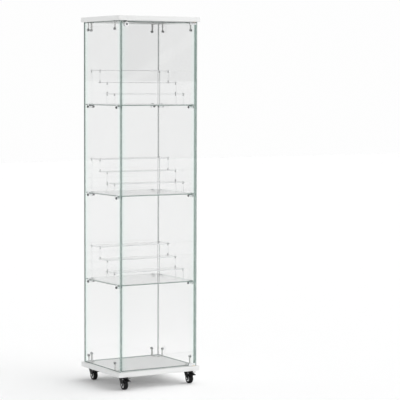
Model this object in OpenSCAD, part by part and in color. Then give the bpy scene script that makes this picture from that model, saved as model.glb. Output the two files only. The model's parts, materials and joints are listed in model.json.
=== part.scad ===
// Tall glass display case on four braked casters, with a glass door, three glass shelves
// and a clear three-step riser on each shelf.
// +X is to the right seen from the front, +Y to the back, +Z up. The origin is on the floor,
// under the middle of the case's outline.

/* [Boards] */
// Width of the top and base boards
board_w = 425; // [400:5:600]
// Depth of the top and base boards
board_d = 382; // [370:2:500]
// Thickness of the boards
board_t = 22; // [20:1:30]
// How far the boards stand out past the glass
board_lip = 11; // [8:1:16]

/* [Glass] */
// Height of the fixed glass panels
glass_h = 1600; // [1500:10:1900]
// Thickness of the panels and the door
glass_t = 4; // [4:1:6]
// Thickness of the shelves
shelf_t = 5; // [4:1:8]
// Height of the lower shelf's middle plane above the base board
lower_shelf_h = 396.5; // [300:0.5:420]
// Height of the middle shelf's middle plane above the base board
middle_shelf_h = 805; // [780:0.5:830]
// Height of the upper shelf's middle plane above the base board
upper_shelf_h = 1217; // [1190:0.5:1250]

/* [Corner brackets] */
// Width of a bracket's strip
bracket_w = 9; // [8:1:12]
// Thickness of a bracket's strip
bracket_t = 2; // [1.5:0.5:3]
// Length of the foot that is screwed to the board
bracket_foot = 28; // [24:1:36]
// Height of the glass bolt above the board
bracket_bolt_h = 37; // [30:1:45]
// Radius of the round cap on the glass bolt
glass_cap_r = 6.5; // [5.5:0.5:8]

/* [Shelf clips] */
// Distance of the front clips from the front edge of the glass
clip_front = 37; // [32:1:60]
// Distance of the rear clips from the corner
clip_rear = 40; // [32:1:60]
// Length of a clip's post
clip_post = 20; // [16:1:26]
// Radius of a clip's post
clip_r = 5; // [4.5:0.5:6]

/* [Door] */
// Gap between the door and the panels beside it
door_side_gap = 2; // [2:0.5:4]
// Gap between the door and the board above or below it
door_end_gap = 3; // [3:0.5:5]
// Distance of the pivot from the door's hinged edge
pivot_inset = 10; // [8:1:12]
// Radius of the pivot pins
pivot_r = 4; // [3:0.5:5]
// Radial clearance of every running fit
running_gap = 0.05; // [0.02:0.01:0.1]

/* [Lock] */
// Distance of the lock from the outer face of the left panel
lock_inset = 33; // [30:1:60]
// Distance of the lock below the top board
lock_drop = 17; // [16:1:20]
// Radius of the lock's rim
lock_rim_r = 11.5; // [11:0.5:14]

/* [Casters] */
// Height of a caster, from the floor to the base board
caster_h = 60; // [60:1:80]
// Distance of a caster's stem from the board's edges
caster_inset = 40; // [36:1:60]
// Radius of a wheel
wheel_r = 23; // [21:0.5:24]
// Width of a tyre
wheel_w = 19; // [16:1:22]
// How far a wheel trails behind its stem
wheel_trail = 14; // [12:1:16]
// How far a brake pedal reaches from the stem
pedal_reach = 52; // [46:1:60]

/* [Risers] */
// Height of a riser's bottom, middle and top step
riser_steps = [50, 102, 158];
// Distance between the posts on the left and right
riser_span = 359; // [300:1:362]
// Thickness of a riser's plates
riser_t = 3; // [3:1:5]
// Radius of a riser's posts
post_r = 4.5; // [4:0.5:6]

/* [Hidden] */
$fn = 48;

// Heights of the boards' faces
base_z0 = caster_h;
base_z1 = base_z0 + board_t;
top_z0 = base_z1 + glass_h;
top_z1 = top_z0 + board_t;

// Outer and inner faces of the glass
glass_w = board_w - 2 * board_lip;
glass_d = board_d - 2 * board_lip;
inner_x = glass_w / 2 - glass_t;
inner_y = glass_d / 2 - glass_t;

// The brake pedals stand out at the front, so the boards sit back by half of that
case_y = (pedal_reach - caster_inset) / 2;

// A small overlap that keeps a cut clean
cut = 1;

// Shelves
shelf_gap = 3;
shelf_front_gap = 11;
lower_shelf_z = base_z1 + lower_shelf_h;
middle_shelf_z = base_z1 + middle_shelf_h;
upper_shelf_z = base_z1 + upper_shelf_h;
shelf_levels = [lower_shelf_z, middle_shelf_z, upper_shelf_z];

// Bracket fasteners
bracket_front = 55;
bracket_rear = 42;
screw_r = 1.75;
screw_depth = 12;
screw_head_r = 3.5;
screw_head_t = 1.5;
foot_screw_x = bracket_foot - 8;
glass_bolt_r = 2.5;
glass_hole_r = 3;
glass_cap_t = 4;
glass_nut_r = 5;
glass_nut_t = 3.5;

// Shelf clips
clip_web_t = 2;
clip_w = 12;
clip_lip = 9;
clip_lip_gap = 0.5;
clip_post_drop = 10;
clip_pad_t = 4;
clip_pad_w = 8;
clip_pad_x = 4;
clip_cap_r = 6;
clip_cap_t = 4;
clip_bolt_x = 10;
clip_tip_t = 3;
clip_tip_r = clip_r + 0.5;

// Door and its pivots
door_x0 = -inner_x + door_side_gap;
door_x1 = inner_x - door_side_gap;
door_z0 = base_z1 + door_end_gap;
door_z1 = top_z0 - door_end_gap;
pivot_x = door_x1 - pivot_inset;
pivot_y = -glass_d / 2 + glass_t / 2;
clamp_in = 26;
clamp_out = pivot_inset - 0.5;
clamp_h = 10;
clamp_wall = 2.5;
clamp_cap = 2;
clamp_pad = 0.5;
clamp_slot = glass_t + 2 * clamp_pad;
clamp_d = clamp_slot + 2 * clamp_wall;
clamp_screws_x = [-20, -7];
clamp_screw_r = 2;
clamp_screw_head_r = 3.2;
clamp_screw_head_t = 1.2;
pin_l = door_end_gap + 12;
bush_r = 6.5;
bush_depth = 14;
bush_flange_r = 8;
bush_flange_t = 0.6;

// Lock
lock_x = -glass_w / 2 + lock_inset;
lock_z = top_z0 - lock_drop;
lock_body_r = 9;
lock_rim_t = 3.5;
lock_body_l = 16;
lock_plug_r = 6;
lock_nut_r = 12;
lock_nut_t = 4;
lock_slot = [1.8, 6, 7.5];
lock_plug_out = 0.5;
cam_t = 2;
cam_l = 14;
cam_r = 5;
cam_screw_r = 2;
cam_screw_head_r = 3.5;
cam_screw_head_t = 2;
cam_screw_depth = 8;
strike_y = 12.5;
strike_t = 1.5;
strike_l = 15;
strike_w = 16;
strike_drop = 7;
strike_screw_y = 23;

// Casters
stem_r = 4;
stem_l = 15;
insert_r = 7;
insert_depth = 16;
collar_r = 10;
collar_t = 3;
crown_r = 19;
crown_t = 7.7;
crown_z1 = caster_h - collar_t - 0.3;
crown_z0 = crown_z1 - crown_t;
rivet_r = 6.5;
rivet_t = 2.6;
leg_t = 2.5;
leg_x = wheel_w / 2 + 1.2;
leg_rear = 13;
boss_r = 7.5;
hub_r = 14;
hub_w = wheel_w - 2;
tyre_chamfer = 2.5;
axle_r = 3;
axle_head_r = 5;
axle_head_t = 2.5;
pedal_y = -25;
pedal_z = crown_z0 + 1;
pedal_pin_r = 1.6;
pedal_pin_head_r = 2.8;
pedal_pin_head_t = 1;
pedal_hub_r = 4;
pedal_hub_w = wheel_w + 1;
pedal_w = 26;
pedal_wide_y = pedal_y - 6;
pedal_tip_z = 44;
pedal_tab_z = caster_h - 2;
ear_r = 3.5;
shoe_r = 1.8;
shoe_offset = 3.9;
pedal_travel = 14;

// Risers, from the rear row of posts to the front row
riser_rows = [139, 54, -17, -89];
riser_edge = 9;
riser_hole_r = 2;
riser_screw_depth = 8;
riser_head_r = 4;
riser_head_t = 1.5;
riser_screw_l = riser_t + riser_screw_depth;

// Colours
white_board = [0.93, 0.93, 0.92];
clear_glass = [0.70, 0.84, 0.80, 0.35];
clear_acrylic = [0.85, 0.90, 0.92, 0.40];
nickel = [0.62, 0.62, 0.60];
chrome = [0.82, 0.83, 0.85];
dark_cap = [0.38, 0.38, 0.38];
black_plastic = [0.09, 0.09, 0.10];
grey_hub = [0.80, 0.81, 0.82];
brass = [0.78, 0.63, 0.34];

// Spots on the inner faces of the fixed panels: x, y and the turn that points +X into the case
function panel_spots(front, rear, side) = [
    [-inner_x, -glass_d / 2 + front, 0],
    [-inner_x, glass_d / 2 - rear, 0],
    [inner_x, -glass_d / 2 + front, 180],
    [inner_x, glass_d / 2 - rear, 180],
    [-glass_w / 2 + side, inner_y, -90],
    [glass_w / 2 - side, inner_y, -90]
];
bracket_spots = panel_spots(bracket_front, bracket_rear, clip_rear);
clip_spots = panel_spots(clip_front, clip_rear, clip_rear);

// Corners where the casters stand: the sign of x and of y
caster_sides = [[-1, -1], [1, -1], [-1, 1], [1, 1]];

// Outline of a plate with round corners, each an arc of `steps` straight pieces
function round_plate(w, d, r, steps = 6) = [
    for (corner = [0:3], i = [0:steps])
        let (a = corner * 90 + i * 90 / steps)
        [
            (w / 2 - r) * (corner == 0 || corner == 3 ? 1 : -1) + r * cos(a),
            (d / 2 - r) * (corner < 2 ? 1 : -1) + r * sin(a)
        ]
];

// Places its children in the case, which stands a little behind the origin
module in_case() {
    translate([0, case_y, 0]) children();
}

module at_spots(spots) {
    for (s = spots)
        translate([s[0], s[1], 0]) rotate(s[2]) children();
}

// A cylinder along +X from x0 to x1
module rod_x(r, x0, x1) {
    translate([x0, 0, 0]) rotate([0, 90, 0]) cylinder(r = r, h = x1 - x0);
}

// A cylinder along +Y from y0 to y1
module rod_y(r, y0, y1) {
    translate([0, y0, 0]) rotate([-90, 0, 0]) cylinder(r = r, h = y1 - y0);
}

// Each bracket's place: level with the board's face, with +Z pointing away from the board
module at_base_brackets() {
    translate([0, 0, base_z1]) at_spots(bracket_spots) children();
}

module at_top_brackets() {
    translate([0, 0, top_z0]) mirror([0, 0, 1]) at_spots(bracket_spots) children();
}

module at_clips() {
    for (z = shelf_levels)
        translate([0, 0, z]) at_spots(clip_spots) children();
}

module at_casters() {
    for (s = caster_sides) at_caster(s) children();
}

module at_caster(s) {
    translate([s[0] * (board_w / 2 - caster_inset), s[1] * (board_d / 2 - caster_inset), 0])
        children();
}

// Both pivots: +Z points from the door's edge to the board
module at_top_pivot() {
    translate([pivot_x, pivot_y, door_z1]) children();
}

module at_base_pivot() {
    translate([pivot_x, pivot_y, door_z0]) mirror([0, 0, 1]) children();
}

module at_pivots() {
    at_top_pivot() children();
    at_base_pivot() children();
}

// The lock's place: on the door's outer face, with +Y pointing into the case
module at_lock() {
    translate([lock_x, -glass_d / 2, lock_z]) children();
}

// Boards ------------------------------------------------------------------------------------

module board_slab(z0) {
    translate([-board_w / 2, -board_d / 2, z0]) cube([board_w, board_d, board_t]);
}

module bracket_screw_holes() {
    translate([foot_screw_x, 0, -screw_depth]) cylinder(r = screw_r, h = screw_depth + cut);
}

module bush_holes() {
    at_pivots() translate([0, 0, door_end_gap - cut]) cylinder(r = bush_r, h = bush_depth + cut);
}

module top_board() {
    color(white_board) in_case() difference() {
        board_slab(top_z0);
        at_top_brackets() bracket_screw_holes();
        bush_holes();
        at_lock() translate([0, strike_screw_y, lock_drop - cut])
            cylinder(r = screw_r, h = screw_depth + cut);
    }
}

module base_board() {
    color(white_board) in_case() difference() {
        board_slab(base_z0);
        at_base_brackets() bracket_screw_holes();
        bush_holes();
        at_casters() translate([0, 0, base_z0 - cut]) cylinder(r = insert_r, h = insert_depth + cut);
    }
}

// Glass -------------------------------------------------------------------------------------

module glass_holes() {
    at_base_brackets() translate([0, 0, bracket_bolt_h]) rod_x(glass_hole_r, -glass_t - cut, cut);
    at_top_brackets() translate([0, 0, bracket_bolt_h]) rod_x(glass_hole_r, -glass_t - cut, cut);
    at_clips() translate([0, 0, -clip_post_drop]) rod_x(glass_hole_r, -glass_t - cut, cut);
}

module side_glass(x0) {
    color(clear_glass) in_case() difference() {
        translate([x0, -glass_d / 2, base_z1]) cube([glass_t, glass_d, glass_h]);
        glass_holes();
    }
}

module left_glass() {
    side_glass(-glass_w / 2);
}

module right_glass() {
    side_glass(inner_x);
}

module back_glass() {
    joint_gap = 0.5;
    color(clear_glass) in_case() difference() {
        translate([-inner_x + joint_gap, inner_y, base_z1])
            cube([2 * (inner_x - joint_gap), glass_t, glass_h]);
        glass_holes();
    }
}

module shelf(z) {
    color(clear_glass) in_case()
        translate([-inner_x + shelf_gap, -inner_y + shelf_front_gap, z - shelf_t / 2])
            cube([2 * (inner_x - shelf_gap), 2 * inner_y - shelf_front_gap - shelf_gap, shelf_t]);
}

module upper_shelf() {
    shelf(upper_shelf_z);
}

module middle_shelf() {
    shelf(middle_shelf_z);
}

module lower_shelf() {
    shelf(lower_shelf_z);
}

// Corner brackets ---------------------------------------------------------------------------

module bracket() {
    difference() {
        union() {
            translate([0, -bracket_w / 2, 0]) cube([bracket_foot, bracket_w, bracket_t]);
            translate([0, -bracket_w / 2, 0]) cube([bracket_t, bracket_w, bracket_bolt_h]);
            translate([0, 0, bracket_bolt_h]) rod_x(bracket_w / 2, 0, bracket_t);
        }
        translate([foot_screw_x, 0, -cut]) cylinder(r = screw_r, h = bracket_t + 2 * cut);
        translate([0, 0, bracket_bolt_h]) rod_x(glass_bolt_r, -cut, bracket_t + cut);
    }
}

module top_brackets() {
    color(nickel) in_case() at_top_brackets() bracket();
}

module base_brackets() {
    color(nickel) in_case() at_base_brackets() bracket();
}

// A round-headed screw whose head rests on z = 0 and whose shank points down
module board_screw(length) {
    cylinder(r = screw_head_r, h = screw_head_t);
    translate([0, 0, -length]) cylinder(r = screw_r, h = length);
}

module bracket_screws() {
    color(nickel) in_case() {
        at_top_brackets() translate([foot_screw_x, 0, bracket_t]) board_screw(bracket_t + screw_depth);
        at_base_brackets() translate([foot_screw_x, 0, bracket_t]) board_screw(bracket_t + screw_depth);
        at_lock() translate([0, strike_screw_y, lock_drop - strike_t]) mirror([0, 0, 1])
            board_screw(strike_t + screw_depth);
    }
}

module glass_bolt() {
    translate([0, 0, bracket_bolt_h]) {
        rod_x(glass_cap_r, -glass_t - glass_cap_t, -glass_t);
        rod_x(glass_bolt_r, -glass_t, bracket_t);
        rod_x(glass_nut_r, bracket_t, bracket_t + glass_nut_t);
    }
}

module glass_bolts() {
    color(dark_cap) in_case() {
        at_top_brackets() glass_bolt();
        at_base_brackets() glass_bolt();
    }
}

// Shelf clips -------------------------------------------------------------------------------

// A post under the shelf, a web up past its edge and a lip over its top
module shelf_clip() {
    lip_z = shelf_t / 2 + clip_lip_gap;
    pad_z = -shelf_t / 2 - clip_pad_t;
    difference() {
        union() {
            translate([0, -clip_w / 2, -clip_post_drop - clip_r])
                cube([clip_web_t, clip_w, clip_post_drop + clip_r + lip_z + clip_web_t]);
            translate([0, -clip_w / 2, lip_z]) cube([clip_lip, clip_w, clip_web_t]);
            difference() {
                translate([0, 0, -clip_post_drop]) rod_x(clip_r, 0, clip_post);
                translate([clip_web_t, -clip_w, pad_z]) cube([clip_post, 2 * clip_w, clip_r]);
            }
        }
        translate([0, 0, -clip_post_drop]) rod_x(glass_bolt_r, -cut, clip_bolt_x);
    }
}

module shelf_clips() {
    color(chrome) in_case() at_clips() shelf_clip();
}

// The soft pad under the shelf and the soft tip on the post's end
module clip_rubber() {
    pad_l = clip_post - clip_pad_x - 1;
    translate([clip_pad_x, -clip_pad_w / 2, -shelf_t / 2 - clip_pad_t])
        cube([pad_l, clip_pad_w, clip_pad_t]);
    translate([0, 0, -clip_post_drop]) rod_x(clip_tip_r, clip_post, clip_post + clip_tip_t);
}

module clip_rubbers() {
    color(dark_cap) in_case() at_clips() clip_rubber();
}

module clip_bolts() {
    color(dark_cap) in_case() at_clips() translate([0, 0, -clip_post_drop]) {
        rod_x(clip_cap_r, -glass_t - clip_cap_t, -glass_t);
        rod_x(glass_bolt_r, -glass_t, clip_bolt_x);
    }
}

// Door --------------------------------------------------------------------------------------

module door_glass() {
    color(clear_glass) in_case() difference() {
        translate([door_x0, -glass_d / 2, door_z0])
            cube([door_x1 - door_x0, glass_t, door_z1 - door_z0]);
        at_lock() rod_y(lock_body_r + 0.5, -cut, glass_t + cut);
    }
}

// A channel over the door's edge, with the pivot pin on top
module pivot_clamp() {
    width = clamp_in + clamp_out;
    difference() {
        translate([-clamp_in, -clamp_d / 2, -clamp_h]) cube([width, clamp_d, clamp_h + clamp_cap]);
        translate([-clamp_in - cut, -clamp_slot / 2, -clamp_h - cut])
            cube([width + 2 * cut, clamp_slot, clamp_h + cut]);
        for (x = clamp_screws_x)
            translate([x, 0, -clamp_h / 2]) rod_y(clamp_screw_r, clamp_slot / 2 - cut, clamp_d);
    }
    translate([0, 0, clamp_cap]) cylinder(r = pivot_r, h = pin_l - clamp_cap);
}

module top_pivot_clamp() {
    color(chrome) in_case() at_top_pivot() pivot_clamp();
}

module base_pivot_clamp() {
    color(chrome) in_case() at_base_pivot() pivot_clamp();
}

module clamp_pads() {
    color(clear_acrylic) in_case() at_pivots()
        for (y = [-clamp_slot / 2, glass_t / 2])
            translate([-clamp_in, y, -clamp_h]) cube([clamp_in + clamp_out, clamp_pad, clamp_h]);
}

module clamp_screws() {
    color(nickel) in_case() at_pivots()
        for (x = clamp_screws_x)
            translate([x, 0, -clamp_h / 2]) {
                rod_y(clamp_screw_r, clamp_slot / 2, clamp_d / 2);
                rod_y(clamp_screw_head_r, clamp_d / 2, clamp_d / 2 + clamp_screw_head_t);
            }
}

module pivot_bushes() {
    color(brass) in_case() at_pivots() translate([0, 0, door_end_gap]) difference() {
        union() {
            cylinder(r = bush_r, h = bush_depth);
            translate([0, 0, -bush_flange_t]) cylinder(r = bush_flange_r, h = bush_flange_t);
        }
        translate([0, 0, -cut]) cylinder(r = pivot_r + running_gap, h = bush_depth + 2 * cut);
    }
}

// Lock --------------------------------------------------------------------------------------

module lock_housing() {
    color(chrome) in_case() at_lock() difference() {
        union() {
            rod_y(lock_rim_r, -lock_rim_t, 0);
            rod_y(lock_body_r, 0, lock_body_l);
        }
        rod_y(lock_plug_r + running_gap, -lock_rim_t - cut, lock_body_l + cut);
    }
}

module lock_nut() {
    color(nickel) in_case() at_lock() difference() {
        translate([0, glass_t, 0]) rotate([-90, 30, 0])
            cylinder(r = lock_nut_r, h = lock_nut_t, $fn = 6);
        rod_y(lock_body_r, 0, glass_t + lock_nut_t + cut);
    }
}

module lock_plug() {
    rear = lock_body_l + lock_plug_out;
    color(nickel) in_case() at_lock() difference() {
        rod_y(lock_plug_r, -lock_rim_t - lock_plug_out, rear);
        translate([-lock_slot[0] / 2, -lock_rim_t - lock_plug_out - cut, -lock_slot[2] / 2])
            cube(lock_slot);
        rod_y(cam_screw_r, rear - cam_screw_depth, rear + cut);
    }
}

// The cam lies flat when unlocked and turns up behind the strike
module lock_cam() {
    color(nickel) in_case() at_lock() translate([0, lock_body_l + lock_plug_out, 0]) difference() {
        union() {
            rod_y(cam_r, 0, cam_t);
            translate([0, 0, -cam_r + 1]) cube([cam_l, cam_t, 2 * cam_r - 2]);
        }
        rod_y(cam_screw_r, -cut, cam_t + cut);
    }
}

module cam_screw() {
    rear = lock_body_l + lock_plug_out + cam_t;
    color(nickel) in_case() at_lock() {
        rod_y(cam_screw_head_r, rear, rear + cam_screw_head_t);
        rod_y(cam_screw_r, rear - cam_t - cam_screw_depth, rear);
    }
}

module lock_strike() {
    color(nickel) in_case() at_lock() translate([0, 0, lock_drop]) difference() {
        union() {
            translate([-strike_w / 2, strike_y, -strike_t]) cube([strike_w, strike_l, strike_t]);
            translate([-strike_w / 2, strike_y, -strike_drop]) cube([strike_w, strike_t, strike_drop]);
        }
        translate([0, strike_screw_y, -strike_t - cut]) cylinder(r = screw_r, h = strike_t + 2 * cut);
    }
}

// Casters -----------------------------------------------------------------------------------

module caster_inserts() {
    color(brass) in_case() at_casters() translate([0, 0, base_z0]) difference() {
        cylinder(r = insert_r, h = insert_depth);
        translate([0, 0, -cut]) cylinder(r = stem_r, h = insert_depth + 2 * cut);
    }
}

module caster_stems() {
    color(nickel) in_case() at_casters() {
        translate([0, 0, crown_z0 - 0.2]) cylinder(r = stem_r, h = base_z0 + stem_l - crown_z0 + 0.2);
        translate([0, 0, base_z0 - collar_t]) cylinder(r = collar_r, h = collar_t);
        translate([0, 0, crown_z0 - 0.2 - rivet_t]) cylinder(r = rivet_r, h = rivet_t);
    }
}

// Side view of a fork's leg: y to the back and z up
module leg_outline() {
    polygon([
        [leg_rear, crown_z1],
        [pedal_y, crown_z1],
        [pedal_y - ear_r, pedal_z],
        [-wheel_trail - boss_r + 1, wheel_r],
        [-wheel_trail + boss_r - 1, wheel_r],
        [leg_rear, crown_z0 + 1]
    ]);
    translate([-wheel_trail, wheel_r]) circle(r = boss_r);
}

// A solid from a side view, between -w/2 and w/2 across the caster
module across(w) {
    translate([-w / 2, 0, 0]) rotate([90, 0, 90]) linear_extrude(w) children();
}

module caster_fork(s) {
    color(black_plastic) in_case() at_caster(s) difference() {
        union() {
            translate([0, 0, crown_z0]) cylinder(r = crown_r, h = crown_t);
            for (x = [-leg_x - leg_t / 2, leg_x + leg_t / 2])
                translate([x, 0, 0]) across(leg_t) leg_outline();
        }
        translate([0, 0, crown_z0 - cut]) cylinder(r = stem_r + running_gap, h = crown_t + 2 * cut);
        translate([0, -wheel_trail, wheel_r]) rod_x(axle_r, -crown_r, crown_r);
        translate([0, pedal_y, pedal_z]) rod_x(pedal_pin_r, -crown_r, crown_r);
    }
}

// A headed pin through both legs
module leg_pin(r, head_r, head_t) {
    outer = leg_x + leg_t;
    rod_x(r, -outer, outer);
    rod_x(head_r, -outer - head_t, -outer);
    rod_x(head_r, outer, outer + head_t);
}

module caster_axle_pins(s) {
    color(chrome) in_case() at_caster(s) {
        translate([0, -wheel_trail, wheel_r]) leg_pin(axle_r, axle_head_r, axle_head_t);
        translate([0, pedal_y, pedal_z]) leg_pin(pedal_pin_r, pedal_pin_head_r, pedal_pin_head_t);
    }
}

module caster_hub(s) {
    color(grey_hub) in_case() at_caster(s) translate([0, -wheel_trail, wheel_r]) difference() {
        rod_x(hub_r, -hub_w / 2, hub_w / 2);
        rod_x(axle_r + running_gap, -wheel_w, wheel_w);
    }
}

module caster_tyre(s) {
    shoulder = wheel_w / 2 - tyre_chamfer;
    color(black_plastic) in_case() at_caster(s) translate([0, -wheel_trail, wheel_r])
        rotate([0, 90, 0]) rotate_extrude() polygon([
            [hub_r, -wheel_w / 2],
            [wheel_r - tyre_chamfer, -wheel_w / 2],
            [wheel_r, -shoulder],
            [wheel_r, shoulder],
            [wheel_r - tyre_chamfer, wheel_w / 2],
            [hub_r, wheel_w / 2]
        ]);
}

// Side view of the pedal: a tread to press down and a tab above it to release
module pedal_outline() {
    polygon([
        [pedal_y, pedal_z - pedal_hub_r + 1],
        [-pedal_reach + 1, pedal_tip_z - 3],
        [-pedal_reach, pedal_tip_z],
        [pedal_y, pedal_z + 1]
    ]);
    polygon([
        [pedal_y, pedal_z + 1],
        [-pedal_reach + 2, pedal_tab_z - 2.5],
        [-pedal_reach + 2, pedal_tab_z],
        [pedal_y, pedal_z + pedal_hub_r - 0.5]
    ]);
}

module caster_pedal(s) {
    shoe_aim = atan2(wheel_r - pedal_z, -wheel_trail - pedal_y) - pedal_travel;
    color(black_plastic) in_case() at_caster(s) difference() {
        union() {
            translate([0, pedal_y, pedal_z]) rod_x(pedal_hub_r, -pedal_hub_w / 2, pedal_hub_w / 2);
            translate([0, pedal_y + shoe_offset * cos(shoe_aim), pedal_z + shoe_offset * sin(shoe_aim)])
                rod_x(shoe_r, -hub_w / 2, hub_w / 2);
            across(pedal_hub_w) pedal_outline();
            across(pedal_w) intersection() {
                pedal_outline();
                translate([-pedal_reach, 0]) square([pedal_reach + pedal_wide_y, caster_h]);
            }
        }
        translate([0, pedal_y, pedal_z]) rod_x(pedal_pin_r + running_gap, -pedal_w, pedal_w);
    }
}

// Risers ------------------------------------------------------------------------------------

// Puts its children on the left and right, at a row of posts
module at_row(row) {
    for (side = [-1, 1])
        translate([side * riser_span / 2, riser_rows[row], 0]) children();
}

module on_shelf(z) {
    in_case() translate([0, 0, z + shelf_t / 2]) children();
}

// Step 0 is the lowest. Its plate spans two rows of posts
module riser_tiers(z) {
    color(clear_acrylic) on_shelf(z)
        for (step = [0:2]) {
            front = riser_rows[3 - step];
            rear = riser_rows[2 - step];
            difference() {
                translate([0, (front + rear) / 2, riser_steps[step] - riser_t])
                    linear_extrude(riser_t)
                    polygon(round_plate(
                        riser_span + 2 * riser_edge, rear - front + 2 * riser_edge, riser_edge));
                for (row = [2 - step, 3 - step])
                    at_row(row) translate([0, 0, riser_steps[step] - riser_t - cut])
                        cylinder(r = riser_hole_r, h = riser_t + 2 * cut);
            }
        }
}

// A post between two heights, drilled at the top and, if wanted, at the foot
module post(z0, z1, drilled_foot) {
    difference() {
        translate([0, 0, z0]) cylinder(r = post_r, h = z1 - z0);
        translate([0, 0, z1 - riser_screw_depth])
            cylinder(r = riser_hole_r, h = riser_screw_depth + cut);
        if (drilled_foot)
            translate([0, 0, z0 - cut]) cylinder(r = riser_hole_r, h = riser_screw_depth + cut);
    }
}

module riser_posts(z) {
    color(clear_acrylic) on_shelf(z) {
        at_row(0) post(0, riser_steps[2] - riser_t, false);
        at_row(1) post(riser_steps[1], riser_steps[2] - riser_t, true);
        at_row(2) post(riser_steps[0], riser_steps[1] - riser_t, true);
        at_row(2) post(0, riser_steps[0] - riser_t, false);
        at_row(3) post(0, riser_steps[0] - riser_t, false);
    }
}

// A screw whose head rests on z = 0 and whose shank points down
module riser_screw() {
    cylinder(r = riser_head_r, h = riser_head_t);
    translate([0, 0, -riser_screw_l]) cylinder(r = riser_hole_r, h = riser_screw_l);
}

module riser_screws(z) {
    color(chrome) on_shelf(z) {
        for (row = [0, 1]) at_row(row) translate([0, 0, riser_steps[2]]) riser_screw();
        at_row(1) translate([0, 0, riser_steps[1] - riser_t]) mirror([0, 0, 1]) riser_screw();
        at_row(2) translate([0, 0, riser_steps[1]]) riser_screw();
        at_row(2) translate([0, 0, riser_steps[0] - riser_screw_l])
            cylinder(r = riser_hole_r, h = 2 * riser_screw_l - riser_t);
        at_row(3) translate([0, 0, riser_steps[0]]) riser_screw();
    }
}

// Nodes -------------------------------------------------------------------------------------

top_board();
base_board();
left_glass();
back_glass();
right_glass();
upper_shelf();
middle_shelf();
lower_shelf();
shelf_clips();
clip_rubbers();
clip_bolts();
top_brackets();
base_brackets();
bracket_screws();
glass_bolts();
pivot_bushes();
lock_strike();
caster_inserts();
caster_stems();
door_glass();
top_pivot_clamp();
base_pivot_clamp();
clamp_pads();
clamp_screws();
lock_housing();
lock_nut();
lock_plug();
lock_cam();
cam_screw();
caster_fork(caster_sides[0]);  // front_left_fork
caster_axle_pins(caster_sides[0]);  // front_left_axle_pins
caster_hub(caster_sides[0]);  // front_left_hub
caster_tyre(caster_sides[0]);  // front_left_tyre
caster_pedal(caster_sides[0]);  // front_left_pedal
caster_fork(caster_sides[1]);  // front_right_fork
caster_axle_pins(caster_sides[1]);  // front_right_axle_pins
caster_hub(caster_sides[1]);  // front_right_hub
caster_tyre(caster_sides[1]);  // front_right_tyre
caster_pedal(caster_sides[1]);  // front_right_pedal
caster_fork(caster_sides[2]);  // rear_left_fork
caster_axle_pins(caster_sides[2]);  // rear_left_axle_pins
caster_hub(caster_sides[2]);  // rear_left_hub
caster_tyre(caster_sides[2]);  // rear_left_tyre
caster_pedal(caster_sides[2]);  // rear_left_pedal
caster_fork(caster_sides[3]);  // rear_right_fork
caster_axle_pins(caster_sides[3]);  // rear_right_axle_pins
caster_hub(caster_sides[3]);  // rear_right_hub
caster_tyre(caster_sides[3]);  // rear_right_tyre
caster_pedal(caster_sides[3]);  // rear_right_pedal
riser_tiers(upper_shelf_z);  // upper_riser_tiers
riser_posts(upper_shelf_z);  // upper_riser_posts
riser_screws(upper_shelf_z);  // upper_riser_screws
riser_tiers(middle_shelf_z);  // middle_riser_tiers
riser_posts(middle_shelf_z);  // middle_riser_posts
riser_screws(middle_shelf_z);  // middle_riser_screws
riser_tiers(lower_shelf_z);  // lower_riser_tiers
riser_posts(lower_shelf_z);  // lower_riser_posts
riser_screws(lower_shelf_z);  // lower_riser_screws
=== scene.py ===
"""Looks of a tall glass display case on casters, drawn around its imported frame.

The frame gives every place and outer size. This script works out the visible surface of each piece
with numpy, inside the solid that the frame holds for it: boards with rounded edges, glass with
ground edges, bent strips, turned caps, pins and wheels. Lengths are in metres.
"""

import json
import logging
from collections.abc import Callable, Sequence
from dataclasses import dataclass, field, replace
from enum import Enum

import bpy
import numpy as np
from mathutils import Matrix, Vector
from mathutils.geometry import delaunay_2d_cdt

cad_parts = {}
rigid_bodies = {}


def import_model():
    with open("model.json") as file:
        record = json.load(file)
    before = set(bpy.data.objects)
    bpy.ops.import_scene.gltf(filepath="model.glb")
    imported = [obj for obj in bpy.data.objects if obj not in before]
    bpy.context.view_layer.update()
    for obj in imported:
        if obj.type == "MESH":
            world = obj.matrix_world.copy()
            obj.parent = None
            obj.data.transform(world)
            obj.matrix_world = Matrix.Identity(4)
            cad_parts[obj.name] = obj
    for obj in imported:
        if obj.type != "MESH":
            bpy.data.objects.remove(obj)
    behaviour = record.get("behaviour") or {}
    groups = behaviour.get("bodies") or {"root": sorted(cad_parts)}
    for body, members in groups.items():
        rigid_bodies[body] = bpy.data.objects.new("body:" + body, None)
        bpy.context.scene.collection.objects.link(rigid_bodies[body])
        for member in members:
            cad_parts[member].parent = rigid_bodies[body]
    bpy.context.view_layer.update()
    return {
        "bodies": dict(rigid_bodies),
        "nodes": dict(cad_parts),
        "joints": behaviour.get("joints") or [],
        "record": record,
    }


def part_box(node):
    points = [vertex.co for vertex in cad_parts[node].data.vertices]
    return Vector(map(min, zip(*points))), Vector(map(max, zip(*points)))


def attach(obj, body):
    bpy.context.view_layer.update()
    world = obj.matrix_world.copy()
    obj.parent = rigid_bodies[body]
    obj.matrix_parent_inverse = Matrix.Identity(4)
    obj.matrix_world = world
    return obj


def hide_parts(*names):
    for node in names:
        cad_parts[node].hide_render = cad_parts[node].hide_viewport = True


log = logging.getLogger("display_case")

Array = np.ndarray
Colour = tuple[float, float, float]
Material, Tree, Socket = bpy.types.Material, bpy.types.NodeTree, bpy.types.NodeSocket

MM = 0.001
TURN = 2 * np.pi

# Stretches of a turned profile below this length belong to a rounded corner
SHORT_STRETCH = 0.5 * MM

X_WAY, Y_WAY, Z_WAY = np.eye(3)

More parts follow.
